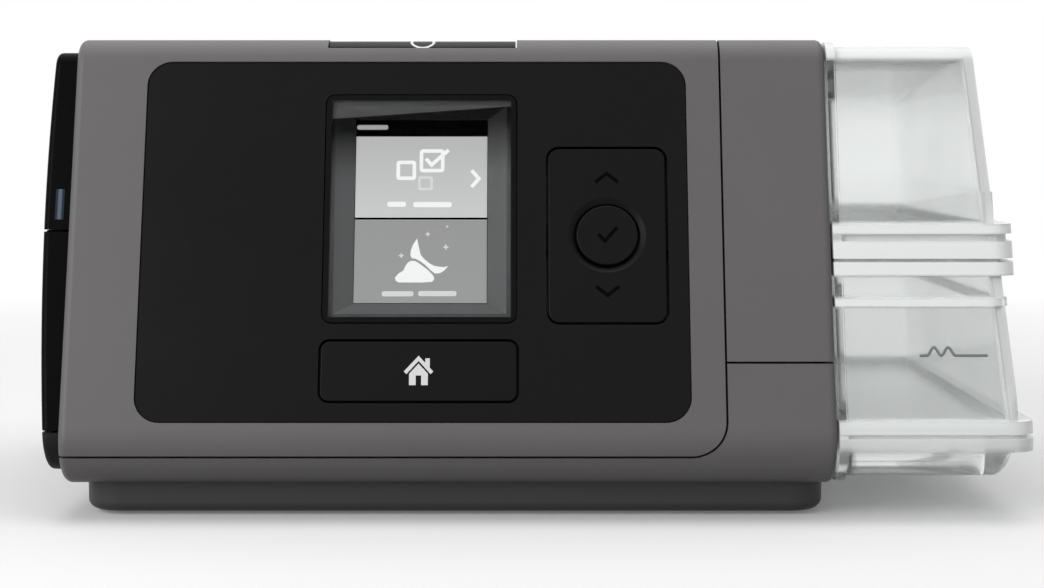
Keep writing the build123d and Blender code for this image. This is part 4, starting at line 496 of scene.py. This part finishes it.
def printed(name, colour, rough, glow=0.0, shine=0.3):
    """Screen-printed ink: an even film with a faint mesh. Ink that glows reflects less."""
    finish = Finish(name)
    mesh = finish.noise(0.3, 2.0)
    unlit = 1 - 0.97 * min(glow, 1.0)
    return finish.close(
        Base_Color=finish.blend(mesh, shade(colour, 0.93 * unlit), shade(colour, 1.05 * unlit)),
        Emission_Color=finish.blend(mesh, shade(colour, 0.93), shade(colour, 1.05)),
        Emission_Strength=glow,
        Specular_IOR_Level=shine,
        Roughness=mesh * 0.12 + rough,
        Normal=finish.bump(mesh, 0.01, 0.3),
    )


# ---------------------------------------------------------------- objects and flat shapes
def add_object(name, data):
    """Put a new object in the scene."""
    made = bpy.data.objects.new(name, data)
    bpy.context.scene.collection.objects.link(made)
    return made


def mesh_object(name, mesh):
    """Turn a working mesh into an object of the scene."""
    data = bpy.data.meshes.new(name)
    mesh.to_mesh(data)
    mesh.free()
    return add_object(name, data)


def shifted(points, x, y):
    """The same points, moved across and up."""
    return [(x + right, y + up) for right, up in points]


def arc(x, y, radius, start, end, steps):
    """Points on an arc, angles in degrees."""
    points = []
    for step in range(steps + 1):
        angle = math.radians(start + (end - start) * step / steps)
        points.append((x + radius * math.cos(angle), y + radius * math.sin(angle)))
    return points


def box_points(x, y, width, tall, radius=0.0):
    """Points round a rectangle, whose corners may be rounded."""
    half_wide, half_tall = width / 2 - radius, tall / 2 - radius
    if radius <= 0:
        corners = ((-1, -1), (1, -1), (1, 1), (-1, 1))
        return [(x + side * half_wide, y + up * half_tall) for side, up in corners]
    points = []
    for turn, (side, up) in enumerate(((1, 1), (-1, 1), (-1, -1), (1, -1))):
        points += arc(x + side * half_wide, y + up * half_tall, radius, 90 * turn, 90 * turn + 90, 6)
    return points


def star_points(x, y, size, waist=0.38):
    """Points round a star of four points, with its waist as a share of its size."""
    points = []
    for corner in range(8):
        reach = size * waist if corner % 2 else size
        angle = math.radians(45 * corner)
        points.append((x + reach * math.cos(angle), y + reach * math.sin(angle)))
    return points


def on_face(u, v, lift):
    """A point near the leaning face, lifted off it along its normal."""
    y = FACE_Y + v * math.sin(LEAN) - lift * math.cos(LEAN)
    z = v * math.cos(LEAN) + lift * math.sin(LEAN)
    return Vector((u, y, z)) * MM


def on_crest(u, s, lift):
    """A point on the start button's skin, s along it from the crest line to the back."""
    radius = CREST_R - START_SUNK
    angle = max(min(s / radius, TOP_FALL), LEAN - math.pi / 2)
    rest = s - angle * radius
    y = CREST_Y + (radius + lift) * math.sin(angle) + rest * math.cos(angle)
    z = CREST_Z + (radius + lift) * math.cos(angle) - rest * math.sin(angle)
    return Vector((u, y, z)) * MM


def fill_shape(mesh, outline, place, low, high):
    """Raise a closed outline between two levels."""
    bottom = [mesh.verts.new(place(u, v, low)) for u, v in outline]
    top = [mesh.verts.new(place(u, v, high)) for u, v in outline]
    mesh.faces.new(top)
    mesh.faces.new(bottom[::-1])
    for here in range(len(outline)):
        there = (here + 1) % len(outline)
        mesh.faces.new((bottom[here], bottom[there], top[there], top[here]))


def stroke_shape(mesh, points, width, place, low, high, closed):
    """Raise a line of even width, mitred at its corners, between two levels."""
    count = len(points)
    rails = []
    for here in range(count):
        before = points[here - 1] if here or closed else None
        after = points[(here + 1) % count] if here < count - 1 or closed else None
        point = Vector(points[here])
        ways = []
        if before is not None:
            ways.append((point - Vector(before)).normalized())
        if after is not None:
            ways.append((Vector(after) - point).normalized())
        along = sum(ways, Vector((0, 0))).normalized()
        side = Vector((-along.y, along.x))
        grow = 1 / max(side.dot(Vector((-ways[0].y, ways[0].x))), 0.5)
        reach = side * width / 2 * grow
        corners = ((point + reach, low), (point - reach, low), (point - reach, high), (point + reach, high))
        rails.append([mesh.verts.new(place(spot.x, spot.y, level)) for spot, level in corners])
    spans = count if closed else count - 1
    for here in range(spans):
        first, second = rails[here], rails[(here + 1) % count]
        for side in range(4):
            turn = (side + 1) % 4
            mesh.faces.new((first[side], first[turn], second[turn], second[side]))
    if not closed:
        mesh.faces.new(rails[0][::-1])
        mesh.faces.new(rails[-1])


def raised(name, place, low, high, fills=(), strokes=()):
    """Make one object from filled outlines and lines raised on a surface."""
    mesh = bmesh.new()
    for outline in fills:
        fill_shape(mesh, outline, place, low, high)
    for points, width, closed in strokes:
        stroke_shape(mesh, points, width, place, low, high, closed)
    bmesh.ops.recalc_face_normals(mesh, faces=mesh.faces)
    return mesh_object(name, mesh)


def cover(piece, material):
    """Give an object one material."""
    piece.data.materials.clear()
    piece.data.materials.append(material)


def settle(piece, material, body):
    """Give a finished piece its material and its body."""
    cover(piece, material)
    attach(piece, body)


def dress(material, *names):
    """Give nodes of the frame a material."""
    for name in names:
        cover(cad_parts[name], material)


# ---------------------------------------------------------------- geometry node trees
class Recipe(Layout):
    """A geometry node tree with named sizes, in metres."""

    def __init__(self, name, **sizes):
        super().__init__(bpy.data.node_groups.new(name, "GeometryNodeTree"))
        self.tree.interface.new_socket("Geometry", in_out="INPUT", socket_type="NodeSocketGeometry")
        self.keys = {}
        for title, value in sizes.items():
            kind = "NodeSocketInt" if isinstance(value, int) else "NodeSocketFloat"
            socket = self.tree.interface.new_socket(title, in_out="INPUT", socket_type=kind)
            socket.default_value = value
            self.keys[title] = socket.identifier
        self.tree.interface.new_socket("Geometry", in_out="OUTPUT", socket_type="NodeSocketGeometry")

    def given(self, title):
        """A named size of the tree."""
        return self.add("NodeGroupInput", None, None, title)

    def grow(self, name, geometry, material, values):
        """Close the tree, run it on an empty mesh and return the plain mesh object."""
        whole = self.add("GeometryNodeRealizeInstances", None, (geometry,))
        whole = self.add("GeometryNodeSetMaterial", None, {"Geometry": whole, "Material": material})
        self.add("NodeGroupOutput", None, (whole,))
        carrier = add_object(name, bpy.data.meshes.new(name + "_start"))
        modifier = carrier.modifiers.new("Recipe", "NODES")
        modifier.node_group = self.tree
        for title, value in values.items():
            modifier[self.keys[title]] = value
        bpy.context.view_layer.update()
        evaluated = carrier.evaluated_get(bpy.context.evaluated_depsgraph_get())
        plain = bpy.data.meshes.new_from_object(evaluated)
        carrier.modifiers.remove(modifier)
        carrier.data = plain
        return carrier


def move_mesh(piece, matrix):
    """Put a piece's place into its mesh."""
    piece.data.transform(matrix)
    piece.data.update()


# ---------------------------------------------------------------- settings
COLOUR = {"subtype": "COLOR", "size": 3, "min": 0, "max": 1}


class HousingSettings(bpy.types.PropertyGroup):
    colour: bpy.props.FloatVectorProperty(
        name="Housing colour", description="Colour of the grey shells",
        default=(0.138, 0.132, 0.135), **COLOUR,
    )
    plinth_colour: bpy.props.FloatVectorProperty(
        name="Plinth colour", description="Colour of the base plate",
        default=(0.052, 0.0495, 0.050), **COLOUR,
    )
    grain: bpy.props.FloatProperty(
        name="Grain size", description="Size of the mould's grain, in millimetres",
        default=0.45, min=0.05, max=3,
    )
    side_colour: bpy.props.FloatVectorProperty(
        name="Side colour", description="Colour of the gloss side panels",
        default=(0.0036, 0.0034, 0.0036), **COLOUR,
    )
    light_colour: bpy.props.FloatVectorProperty(
        name="Light colour", description="Colour of the status light",
        default=(0.115, 0.150, 0.185), **COLOUR,
    )


class PanelSettings(bpy.types.PropertyGroup):
    colour: bpy.props.FloatVectorProperty(
        name="Panel colour", description="Colour of the control panel",
        default=(0.0040, 0.0040, 0.0040), **COLOUR,
    )
    print_colour: bpy.props.FloatVectorProperty(
        name="Print colour", description="Colour of the marks on the home and start keys",
        default=(0.80, 0.80, 0.80), **COLOUR,
    )
    faint_colour: bpy.props.FloatVectorProperty(
        name="Faint print colour", description="Colour of the marks on the key pad",
        default=(0.0016, 0.0016, 0.0016), **COLOUR,
    )
    frame_colour: bpy.props.FloatVectorProperty(
        name="Screen frame colour", description="Colour of the slope round the display",
        default=(0.088, 0.088, 0.089), **COLOUR,
    )


class ScreenSettings(bpy.types.PropertyGroup):
    upper_tile: bpy.props.FloatVectorProperty(
        name="Upper tile", description="Colour of the upper tile at its upper edge",
        default=(0.475, 0.475, 0.475), **COLOUR,
    )
    lower_tile: bpy.props.FloatVectorProperty(
        name="Lower tile", description="Colour of the lower tile at its upper edge",
        default=(0.317, 0.317, 0.317), **COLOUR,
    )
    brightness: bpy.props.FloatProperty(
        name="Brightness", description="How strongly the display is lit", default=1.0, min=0, max=5,
    )
    split: bpy.props.FloatProperty(
        name="Tile split", description="Where the two tiles meet, measured up the face in millimetres",
        default=71.66, min=55, max=90,
    )
    header: bpy.props.FloatProperty(
        name="Header", description="Lower edge of the header strip, up the face in millimetres",
        default=91.4, min=80, max=95,
    )


class TubSettings(bpy.types.PropertyGroup):
    colour: bpy.props.FloatVectorProperty(
        name="Tub colour", description="Tint of the clear water tub",
        default=(0.955, 0.97, 0.965), **COLOUR,
    )
    roughness: bpy.props.FloatProperty(
        name="Haze", description="Roughness of the tub's walls",
        default=0.06, subtype="FACTOR", min=0, max=1,
    )
    mark_x: bpy.props.FloatProperty(
        name="Level mark start", description="Left end of the water level mark",
        default=0.0863, unit="LENGTH", min=0.075, max=0.1,
    )
    mark_z: bpy.props.FloatProperty(
        name="Level mark height", description="Height of the water level mark",
        default=0.0369, unit="LENGTH", min=0.02, max=0.045,
    )
    mark_crests: bpy.props.IntProperty(
        name="Crests", description="Crests in the water level mark", default=2, min=1, max=4,
    )
    mark_colour: bpy.props.FloatVectorProperty(
        name="Mark colour", description="Colour of the water level mark",
        default=(0.22, 0.24, 0.235), **COLOUR,
    )


class StageSettings(bpy.types.PropertyGroup):
    lens: bpy.props.FloatProperty(
        name="Lens", description="Focal length of the camera, in millimetres",
        default=72.02, unit="CAMERA", min=10, max=300,
    )
    camera_spot: bpy.props.FloatVectorProperty(
        name="Camera", description="Where the camera stands", size=3, subtype="TRANSLATION",
        default=(-0.0029, -0.5335, 0.0874),
    )
    camera_dip: bpy.props.FloatProperty(
        name="Camera dip", description="How far the camera looks down", subtype="ANGLE",
        default=math.radians(4.5), min=-1.5, max=1.5,
    )
    world_level: bpy.props.FloatProperty(
        name="Room light", description="Light from all round on the object",
        default=0.42, subtype="FACTOR", min=0, max=2,
    )
    top_power: bpy.props.FloatProperty(
        name="Top light", description="Power of the softbox overhead",
        default=5.2, unit="POWER", min=0, max=200,
    )
    key_power: bpy.props.FloatProperty(
        name="Front light", description="Power of the softbox at the front left",
        default=6.0, unit="POWER", min=0, max=200,
    )
    floor_colour: bpy.props.FloatVectorProperty(
        name="Floor colour", description="Colour of the floor near the object",
        default=(0.97, 0.97, 0.97), **COLOUR,
    )


SETTINGS = {
    "cpap_housing": HousingSettings,
    "cpap_panel": PanelSettings,
    "cpap_screen": ScreenSettings,
    "cpap_tub": TubSettings,
    "cpap_stage": StageSettings,
}


# ---------------------------------------------------------------- operators
class CPAP_OT_stage(bpy.types.Operator):
    """Set up the camera, the floor, the room and the lamps"""

    bl_idname = "cpap.stage"
    bl_label = "Stage"

    def execute(self, context):
        settings = context.scene.cpap_stage
        data = bpy.data.cameras.new("studio_camera")
        data.sensor_width = 36.0
        data.lens = settings.lens
        data.clip_start = 0.01
        camera = add_object("studio_camera", data)
        camera.location = settings.camera_spot
        camera.rotation_euler = (math.pi / 2 - settings.camera_dip, 0, 0)
        context.scene.camera = camera
        context.scene.view_settings.view_transform = "Standard"
        self.make_floor(settings.floor_colour)
        self.make_room(context, settings.world_level)
        self.lamp("top_softbox", (0.0, 0.05, 0.95), size=1.1, power=settings.top_power)
        self.lamp("front_softbox", (-0.75, -0.75, 0.45), size=0.7, power=settings.key_power)
        return {"FINISHED"}

    def make_floor(self, colour):
        """Lay paper under the object that turns plain white further out."""
        mesh = bmesh.new()
        bmesh.ops.create_grid(mesh, x_segments=2, y_segments=2, size=FLOOR_HALF)
        floor = mesh_object("floor", mesh)
        finish = Finish("studio_floor")
        across, along = (finish.axis(letter) for letter in "XY")
        far = (across * across + along * along).math("SQRT")
        whiter = (((far - PAPER_REACH) / PAPER_FADE).clamp() + PAPER_WHITE).clamp()
        paper = finish.blend(finish.noise(120.0), shade(colour, 0.99), shade(colour, 1.01))
        near = finish.add("ShaderNodeBsdfDiffuse", None, {"Color": paper})
        dim = finish.add("ShaderNodeBsdfDiffuse", None, {"Color": shade(colour, PAPER_DIM)})
        white = finish.add("ShaderNodeEmission", None, {"Color": (1, 1, 1, 1), "Strength": 1.0})
        seen = finish.seen()
        paper_side = finish.add("ShaderNodeMixShader", None, (seen, dim, near))
        surface = finish.add("ShaderNodeMixShader", None, (whiter * seen, paper_side, white))
        cover(floor, finish.finished(surface))

    def make_room(self, context, level):
        """Light the object from all round at a level, and show plain white where the room is seen."""
        world = bpy.data.worlds.new("studio_room")
        context.scene.world = world
        world.use_nodes = True
        room = Layout(world.node_tree)
        strength = room.seen() * (1 - level) + level
        background = room.add("ShaderNodeBackground", None, {"Color": (1, 1, 1, 1), "Strength": strength})
        room.add("ShaderNodeOutputWorld", None, {"Surface": background})

    def lamp(self, name, spot, size, power):
        """Hang a square softbox that points at the object."""
        data = bpy.data.lights.new(name, "AREA")
        data.shape = "SQUARE"
        data.size = size
        data.energy = power
        lamp = add_object(name, data)
        lamp.location = spot
        lamp.rotation_euler = (LAMP_TARGET - Vector(spot)).to_track_quat("-Z", "Y").to_euler()


class CPAP_OT_housing(bpy.types.Operator):
    """Finish the grey shells, the plinth and the feet"""

    bl_idname = "cpap.housing"
    bl_label = "Housing"

    def execute(self, context):
        settings = context.scene.cpap_housing
        grey = moulded("satin_grey_shell", settings.colour, 0.44, settings.grain, 0.035)
        dress(grey, "main_cover", "humidifier_cover", "lower_case")
        dark = moulded("dark_grey_plinth", settings.plinth_colour, 0.5, settings.grain * 1.4, 0.05)
        dress(dark, "base_plate")
        foot_colour = shade(settings.plinth_colour, 0.24)
        dress(moulded("dark_side_foot", foot_colour, 0.5, 0.5, 0.04, shine=0.1), "side_foot")
        dress(rubbery("foot_rubber", (0.018, 0.018, 0.019)), "rubber_feet")
        return {"FINISHED"}


class CPAP_OT_side_panels(bpy.types.Operator):
    """Finish the gloss side panels, the card door and the status light"""

    bl_idname = "cpap.side_panels"
    bl_label = "Side panels"

    def execute(self, context):
        settings = context.scene.cpap_housing
        black = polished("gloss_side", settings.side_colour, 0.26, shine=0.025)
        dress(black, "adapter_cover", "side_panel", "sd_card_cover")
        low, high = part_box("status_light")
        middle = (low.x + high.x) / 2 / MM
        glow = light_guide("status_glow", settings.light_colour, middle, half=0.6, edge=0.35, strength=0.75)
        dress(glow, "status_light")
        dress(moulded("card_blue", (0.03, 0.07, 0.22), 0.4, 0.3, 0.02), "sd_card")
        return {"FINISHED"}


class CPAP_OT_control_panel(bpy.types.Operator):
    """Finish the control panel, its keys and the screen's frame"""

    bl_idname = "cpap.control_panel"
    bl_label = "Control panel"

    def execute(self, context):
        settings = context.scene.cpap_panel
        dress(polished("piano_black_panel", settings.colour, 0.27), "control_panel")
        key = moulded("satin_black_key", settings.colour, 0.4, 0.3, 0.015, mottle=0.03, shine=0.1)
        dress(key, "home_button", "rocker_key", "ok_button")
        dress(polished("start_key_black", (0.006, 0.006, 0.006), 0.3), "start_button")
        dress(screen_slope("screen_slope", settings.frame_colour), "lcd_bezel")
        dress(clear_plastic("screen_window", (0.97, 0.975, 0.98), 0.0, ior=1.05), "lcd_window")
        dress(polished("display_off", (0.0003, 0.0003, 0.0003), 0.2, shine=0.0), "lcd_module")
        return {"FINISHED"}


class CPAP_OT_screen_picture(bpy.types.Operator):
    """Draw the lit picture of the display: a header, two tiles and their pictograms"""

    bl_idname = "cpap.screen_picture"
    bl_label = "Screen picture"

    def execute(self, context):
        settings = context.scene.cpap_screen
        glow, split, header = settings.brightness, settings.split, settings.header
        self.tile("upper_tile", settings.upper_tile, 1.28, split + TILE_GAP, header - HEADER_GAP, glow)
        self.tile("lower_tile", settings.lower_tile, 1.04, VIEW_LOW + TILE_GAP, split - TILE_GAP, glow)
        white, pale, grey = (
            printed(f"display_{name}", (level, level, level), 0.4, glow, shine=0.0)
            for name, level in (("white", 0.90), ("pale", 0.68), ("grey", 0.36))
        )
        line, small_line = 0.85, 0.6
        self.mark(
            "upper_pictogram", white, split,
            fills=[box_points(-5.6, 3.4, 4.3, 1.2, 0.5), box_points(2.6, 3.3, 8.8, 1.25, 0.5)],
            strokes=[
                (box_points(-3.5, 11.5, 3.7, 3.8, 0.3), line, True),
                (box_points(2.4, 13.8, 4.9, 4.7, 0.4), line, True),
                ([(1.0, 14.3), (2.3, 12.8), (6.2, 16.4)], line, False),
                ([(11.5, 11.5), (13.2, 9.5), (11.5, 7.5)], line, False),
            ],
        )
        small_box = box_points(0.95, 8.4, 2.8, 2.75, 0.3)
        self.mark("upper_pictogram_small", pale, split, strokes=[(small_box, small_line, True)])
        self.mark("lower_pictogram", white, split, fills=[MOON, HILL])
        stars = ((-4.4, -8.75, 0.75), (5.75, -6.75, 0.8), (1.6, -3.7, 0.7), (6.0, -1.9, 0.4))
        bars = ((-5.1, -17.7, 7.2, 1.2, 0.5), (3.9, -17.65, 8.7, 1.2, 0.5))
        fills = [star_points(*star) for star in stars] + [box_points(*bar) for bar in bars]
        self.mark("lower_pictogram_small", pale, split, fills)
        header_bar = box_points(-11.4, 0.2, 7.2, 1.1, 0.5)
        self.mark("header_mark", grey, (header + VIEW_HIGH) / 2, [header_bar])
        return {"FINISHED"}

    def tile(self, name, colour, gain, low, high, glow):
        """Light a patch between two heights up the face, lighter by the gain at its lower edge."""
        low_z, high_z = (height * math.cos(LEAN) - DISPLAY_DROP for height in (low, high))
        finish = lit_tile(name + "_light", shade(colour, gain), colour, low_z, high_z, glow)
        outline = box_points(SCREEN_X, (low + high) / 2, 2 * (VIEW_HALF - SIDE_GAP), high - low)
        piece = raised(name, on_face, -DISPLAY_DEPTH, FILM - DISPLAY_DEPTH, [outline])
        settle(piece, finish, "base")

    def mark(self, name, material, height, fills=(), strokes=()):
        """Light a mark, with its points given from the display's middle and a height up the face."""
        fills = [shifted(outline, SCREEN_X, height) for outline in fills]
        strokes = [(shifted(points, SCREEN_X, height), width, closed) for points, width, closed in strokes]
        piece = raised(name, on_face, FILM - DISPLAY_DEPTH, 2 * FILM - DISPLAY_DEPTH, fills, strokes)
        settle(piece, material, "base")


class CPAP_OT_key_marks(bpy.types.Operator):
    """Print the house on the home key and the marks on the key pad and the start key"""

    bl_idname = "cpap.key_marks"
    bl_label = "Key marks"

    def execute(self, context):
        settings = context.scene.cpap_panel
        # The white print on the home and start keys glows faintly, which is painted light.
        white = printed("white_print", settings.print_colour, 0.45, glow=0.12)
        roof = [(-3.3, -0.1), (-2.7, -0.7), (0, 2.3), (2.7, -0.7), (3.3, -0.1)]
        roof += [(2.5, 0.75), (2.5, 2.9), (1.5, 2.9), (1.5, 1.85), (0, 3.5)]
        walls = [(-2.1, -0.6), (-2.1, -3.2), (-0.6, -3.2), (-0.6, -1.0), (0.6, -1.0)]
        walls += [(0.6, -3.2), (2.1, -3.2), (2.1, -0.6), (0, 1.7)]
        house = [shifted(outline, SCREEN_X, HOME_V) for outline in (roof, walls)]
        settle(self.on_key("home_mark", fills=house), white, "home_key")

        faint = printed("faint_print", settings.faint_colour, 0.5, shine=0.02)
        up = [(-2.6, 12.4), (0, 14.5), (2.6, 12.4)]
        down = [(-2.6, -12.0), (0, -14.1), (2.6, -12.0)]
        tick = [(-2.0, 0.2), (-0.5, -1.4), (2.3, 1.8)]
        up, down, tick = ((shifted(points, PAD_X, PAD_V), PAD_LINE, False) for points in (up, down, tick))
        settle(self.on_key("chevron_marks", strokes=[up, down]), faint, "rocker")
        settle(self.on_key("tick_mark", strokes=[tick]), faint, "ok_key")

        ring = arc(SCREEN_X, -2.2, 2.6, 120, 420, 40)
        bar = [(SCREEN_X, -1.6), (SCREEN_X, 1.2)]
        strokes = [(points, START_LINE, False) for points in (ring, bar)]
        start = raised("start_mark", on_crest, -INK_SUNK, INK_PROUD, strokes=strokes)
        settle(start, white, "start_key")
        return {"FINISHED"}

    def on_key(self, name, fills=(), strokes=()):
        """Print a mark on the skin of a key in the face."""
        return raised(name, on_face, -KEY_SUNK - INK_SUNK, -KEY_SUNK + INK_PROUD, fills, strokes)


class CPAP_OT_water_tub(bpy.types.Operator):
    """Finish the clear water tub, its seal and its metal floor"""

    bl_idname = "cpap.water_tub"
    bl_label = "Water tub"

    def execute(self, context):
        settings = context.scene.cpap_tub
        # The tub carries painted shade on its walls and painted highlights on its ribs and front corner.
        tub_finish = clear_plastic_painted_light("milky_tub", settings.colour, settings.roughness, TUB_PAINTED_SHADE, TUB_RIB_HIGHLIGHT)
        dress(tub_finish, "tub_base", "tub_lid")
        dress(clear_plastic("clear_baffle", (0.95, 0.96, 0.96), 0.05, ior=1.1), "tub_baffle")
        dress(rubbery("white_silicone", (0.66, 0.67, 0.67)), "tub_seal")
        dress(turned_steel("tub_floor_metal", (0.72, 0.72, 0.73), 0.28), "tub_heater_plate")
        dress(turned_steel("hinge_steel", (0.62, 0.62, 0.63), 0.22), "tub_hinge_pin")
        return {"FINISHED"}


class CPAP_OT_level_mark(bpy.types.Operator):
    """Raise the wavy line that shows how far the tub may be filled"""

    bl_idname = "cpap.level_mark"
    bl_label = "Level mark"

    def execute(self, context):
        settings = context.scene.cpap_tub
        recipe = Recipe(
            "level_wave",
            Flat=0.0016, Pitch=0.0032, Crests=2, Tail=0.0072, Rise=0.0019, Width=0.0006, Depth=0.0002,
        )
        wavy = recipe.given("Pitch") * recipe.given("Crests")
        end = recipe.given("Flat") + wavy + recipe.given("Tail")
        far_end = recipe.add("ShaderNodeCombineXYZ", None, {"X": end})
        line = recipe.add("GeometryNodeMeshLine", {"mode": "END_POINTS"}, {"Count": 121, "Offset": far_end})
        x = recipe.add("ShaderNodeSeparateXYZ", None, (recipe.add("GeometryNodeInputPosition"),), "X")
        past = x - recipe.given("Flat")
        swell = (1 - (past / recipe.given("Pitch") * math.tau).math("COSINE")) * 0.5 * recipe.given("Rise")
        rise = swell * (past > 0) * (past < wavy)
        shift = recipe.add("ShaderNodeCombineXYZ", None, {"Y": rise})
        wave = recipe.add("GeometryNodeSetPosition", None, {"Geometry": line, "Offset": shift})
        curve = recipe.add("GeometryNodeMeshToCurve", None, {"Mesh": wave})
        profile = recipe.add(
            "GeometryNodeCurvePrimitiveQuadrilateral", None,
            {"Width": recipe.given("Width"), "Height": recipe.given("Depth")},
        )
        solid = recipe.add(
            "GeometryNodeCurveToMesh", None, {"Curve": curve, "Profile Curve": profile, "Fill Caps": True}
        )
        ink = printed("grey_mark", settings.mark_colour, 0.5)
        piece = recipe.grow("level_mark", solid, ink, {"Crests": settings.mark_crests})
        spot = self.on_tub_front(settings.mark_x, settings.mark_z)
        move_mesh(piece, Matrix.Translation(spot) @ Matrix.Rotation(math.pi / 2 - LEAN, 4, "X"))
        settle(piece, ink, "water_tub")
        return {"FINISHED"}

    def on_tub_front(self, x, z):
        """A point just proud of the front wall of the tub's head, from x and z in metres."""
        y = (FACE_Y + TUB_SET_BACK / math.cos(LEAN) - MARK_PROUD) * MM + z * math.tan(LEAN)
        return Vector((x, y, z))


class CPAP_OT_humidifier(bpy.types.Operator):
    """Finish the bay that the tub slides into, its ports and its heater"""

    bl_idname = "cpap.humidifier"
    bl_label = "Humidifier bay"

    def execute(self, context):
        dress(moulded("bay_grey", (0.055, 0.054, 0.055), 0.42, 0.5, 0.03), "bay_liner")
        dress(rubbery("grey_silicone", (0.30, 0.31, 0.32)), "port_seals", "key_membrane")
        dress(turned_steel("heater_metal", (0.78, 0.78, 0.79), 0.32), "heater_plate")
        dress(woven("heater_mat", (0.62, 0.57, 0.45), 0.8), "heater_insulation")
        return {"FINISHED"}


class CPAP_OT_back(bpy.types.Operator):
    """Finish the hose outlet, the filter door and the power socket"""

    bl_idname = "cpap.back"
    bl_label = "Back fittings"

    def execute(self, context):
        black = moulded("satin_black_fitting", (0.016, 0.016, 0.017), 0.4, 0.4, 0.03)
        dress(black, "air_outlet", "filter_cover", "retention_clip", "power_inlet")
        dress(rubbery("seal_rubber", (0.016, 0.016, 0.016)), "outlet_seal", "inlet_sleeve", "blower_mounts")
        dress(woven("filter_fibre", (0.80, 0.80, 0.78), 0.9), "air_filter")
        steel = turned_steel("pin_steel", (0.56, 0.56, 0.57), 0.25)
        dress(steel, "clip_pin", "filter_cover_pin", "sd_cover_pin", "base_screws", "board_screws")
        dress(steel, "board_spacers", "motor_bearings", "motor_rotor")
        return {"FINISHED"}


class CPAP_OT_blower(bpy.types.Operator):
    """Finish the blower, the air ducts and the circuit boards inside"""

    bl_idname = "cpap.blower"
    bl_label = "Inside"

    def execute(self, context):
        pale = moulded("duct_plastic", (0.22, 0.22, 0.23), 0.45, 0.6, 0.03)
        dress(pale, "blower_base", "blower_cover", "motor_cap", "inlet_muffler", "flow_duct")
        dress(pale, "outlet_elbow", "sd_card_reader")
        dress(moulded("wheel_plastic", (0.62, 0.62, 0.60), 0.36, 0.4, 0.02), "impeller")
        dress(stacked_sheet("stator_stack", (0.26, 0.26, 0.27)), "motor_stator")
        green = board_finish("green_board", (0.012, 0.10, 0.035))
        dress(green, "interface_board", "main_board", "start_switch")
        dress(woven("flat_cable", (0.45, 0.45, 0.46), 1.27), "ribbon_cable")
        return {"FINISHED"}


class CPAP_OT_screw_drives(bpy.types.Operator):
    """Paint the shade of the cross drive in the head of each screw under the base, as a dark cross"""

    bl_idname = "cpap.screw_drives"
    bl_label = "Screw drives"

    def execute(self, context):
        low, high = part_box("base_screws")
        head_radius = 0.0029
        below_head = 0.00002
        bars_apart = 0.00001
        recipe = Recipe("screw_drives", Span_X=0.1, Span_Y=0.1, Arm=0.0034, Blade=0.0007, Depth=0.00006)
        sides = {"Size X": recipe.given("Span_X"), "Size Y": recipe.given("Span_Y")}
        grid = recipe.add("GeometryNodeMeshGrid", None, {**sides, "Vertices X": 2, "Vertices Y": 2})
        arm = (recipe.given("Arm"), recipe.given("Blade"), recipe.given("Depth"))
        size = recipe.add("ShaderNodeCombineXYZ", None, arm)
        bar = recipe.add("GeometryNodeMeshCube", None, {"Size": size})
        turned = recipe.add(
            "GeometryNodeTransform", None,
            {"Geometry": bar, "Rotation": (0, 0, math.pi / 2), "Translation": (0, 0, bars_apart)},
        )
        cross = recipe.add("GeometryNodeJoinGeometry", None, {"Geometry": [bar, turned]})
        dots = recipe.add("GeometryNodeMeshToPoints", None, {"Mesh": grid})
        many = recipe.add("GeometryNodeInstanceOnPoints", None, {"Points": dots, "Instance": cross})
        # The dark cross is painted shade for the recess of each drive.
        dark = moulded("drive_shadow", (0.01, 0.01, 0.01), 0.6, 0.3, 0.01)
        spans = {"Span_X": high.x - low.x - 2 * head_radius, "Span_Y": high.y - low.y - 2 * head_radius}
        piece = recipe.grow("screw_drives", many, dark, spans)
        middle = Vector(((low.x + high.x) / 2, (low.y + high.y) / 2, low.z - below_head))
        move_mesh(piece, Matrix.Translation(middle))
        settle(piece, dark, "base")
        return {"FINISHED"}


STEPS = (
    CPAP_OT_stage,
    CPAP_OT_housing,
    CPAP_OT_side_panels,
    CPAP_OT_control_panel,
    CPAP_OT_screen_picture,
    CPAP_OT_key_marks,
    CPAP_OT_water_tub,
    CPAP_OT_level_mark,
    CPAP_OT_humidifier,
    CPAP_OT_back,
    CPAP_OT_blower,
    CPAP_OT_screw_drives,
)


class CPAP_PT_machine(bpy.types.Panel):
    """Steps that dress the machine, and their settings"""

    bl_idname = "CPAP_PT_machine"
    bl_label = "CPAP Machine"
    bl_space_type = "VIEW_3D"
    bl_region_type = "UI"
    bl_category = "CPAP"

    def draw(self, context):
        for step in STEPS:
            self.layout.operator(step.bl_idname)
        for title, kind in SETTINGS.items():
            box = self.layout.box()
            group = getattr(context.scene, title)
            for name in kind.__annotations__:
                box.prop(group, name)


def register():
    for title, kind in SETTINGS.items():
        bpy.utils.register_class(kind)
        setattr(bpy.types.Scene, title, bpy.props.PointerProperty(type=kind))
    for step in STEPS:
        bpy.utils.register_class(step)
    bpy.utils.register_class(CPAP_PT_machine)


def unregister():
    bpy.utils.unregister_class(CPAP_PT_machine)
    for step in reversed(STEPS):
        bpy.utils.unregister_class(step)
    for title, kind in reversed(SETTINGS.items()):
        delattr(bpy.types.Scene, title)
        bpy.utils.unregister_class(kind)


def main():
    register()
    for step in STEPS:
        group, name = step.bl_idname.split(".")
        getattr(getattr(bpy.ops, group), name)()


if __name__ == "__main__":
    main()
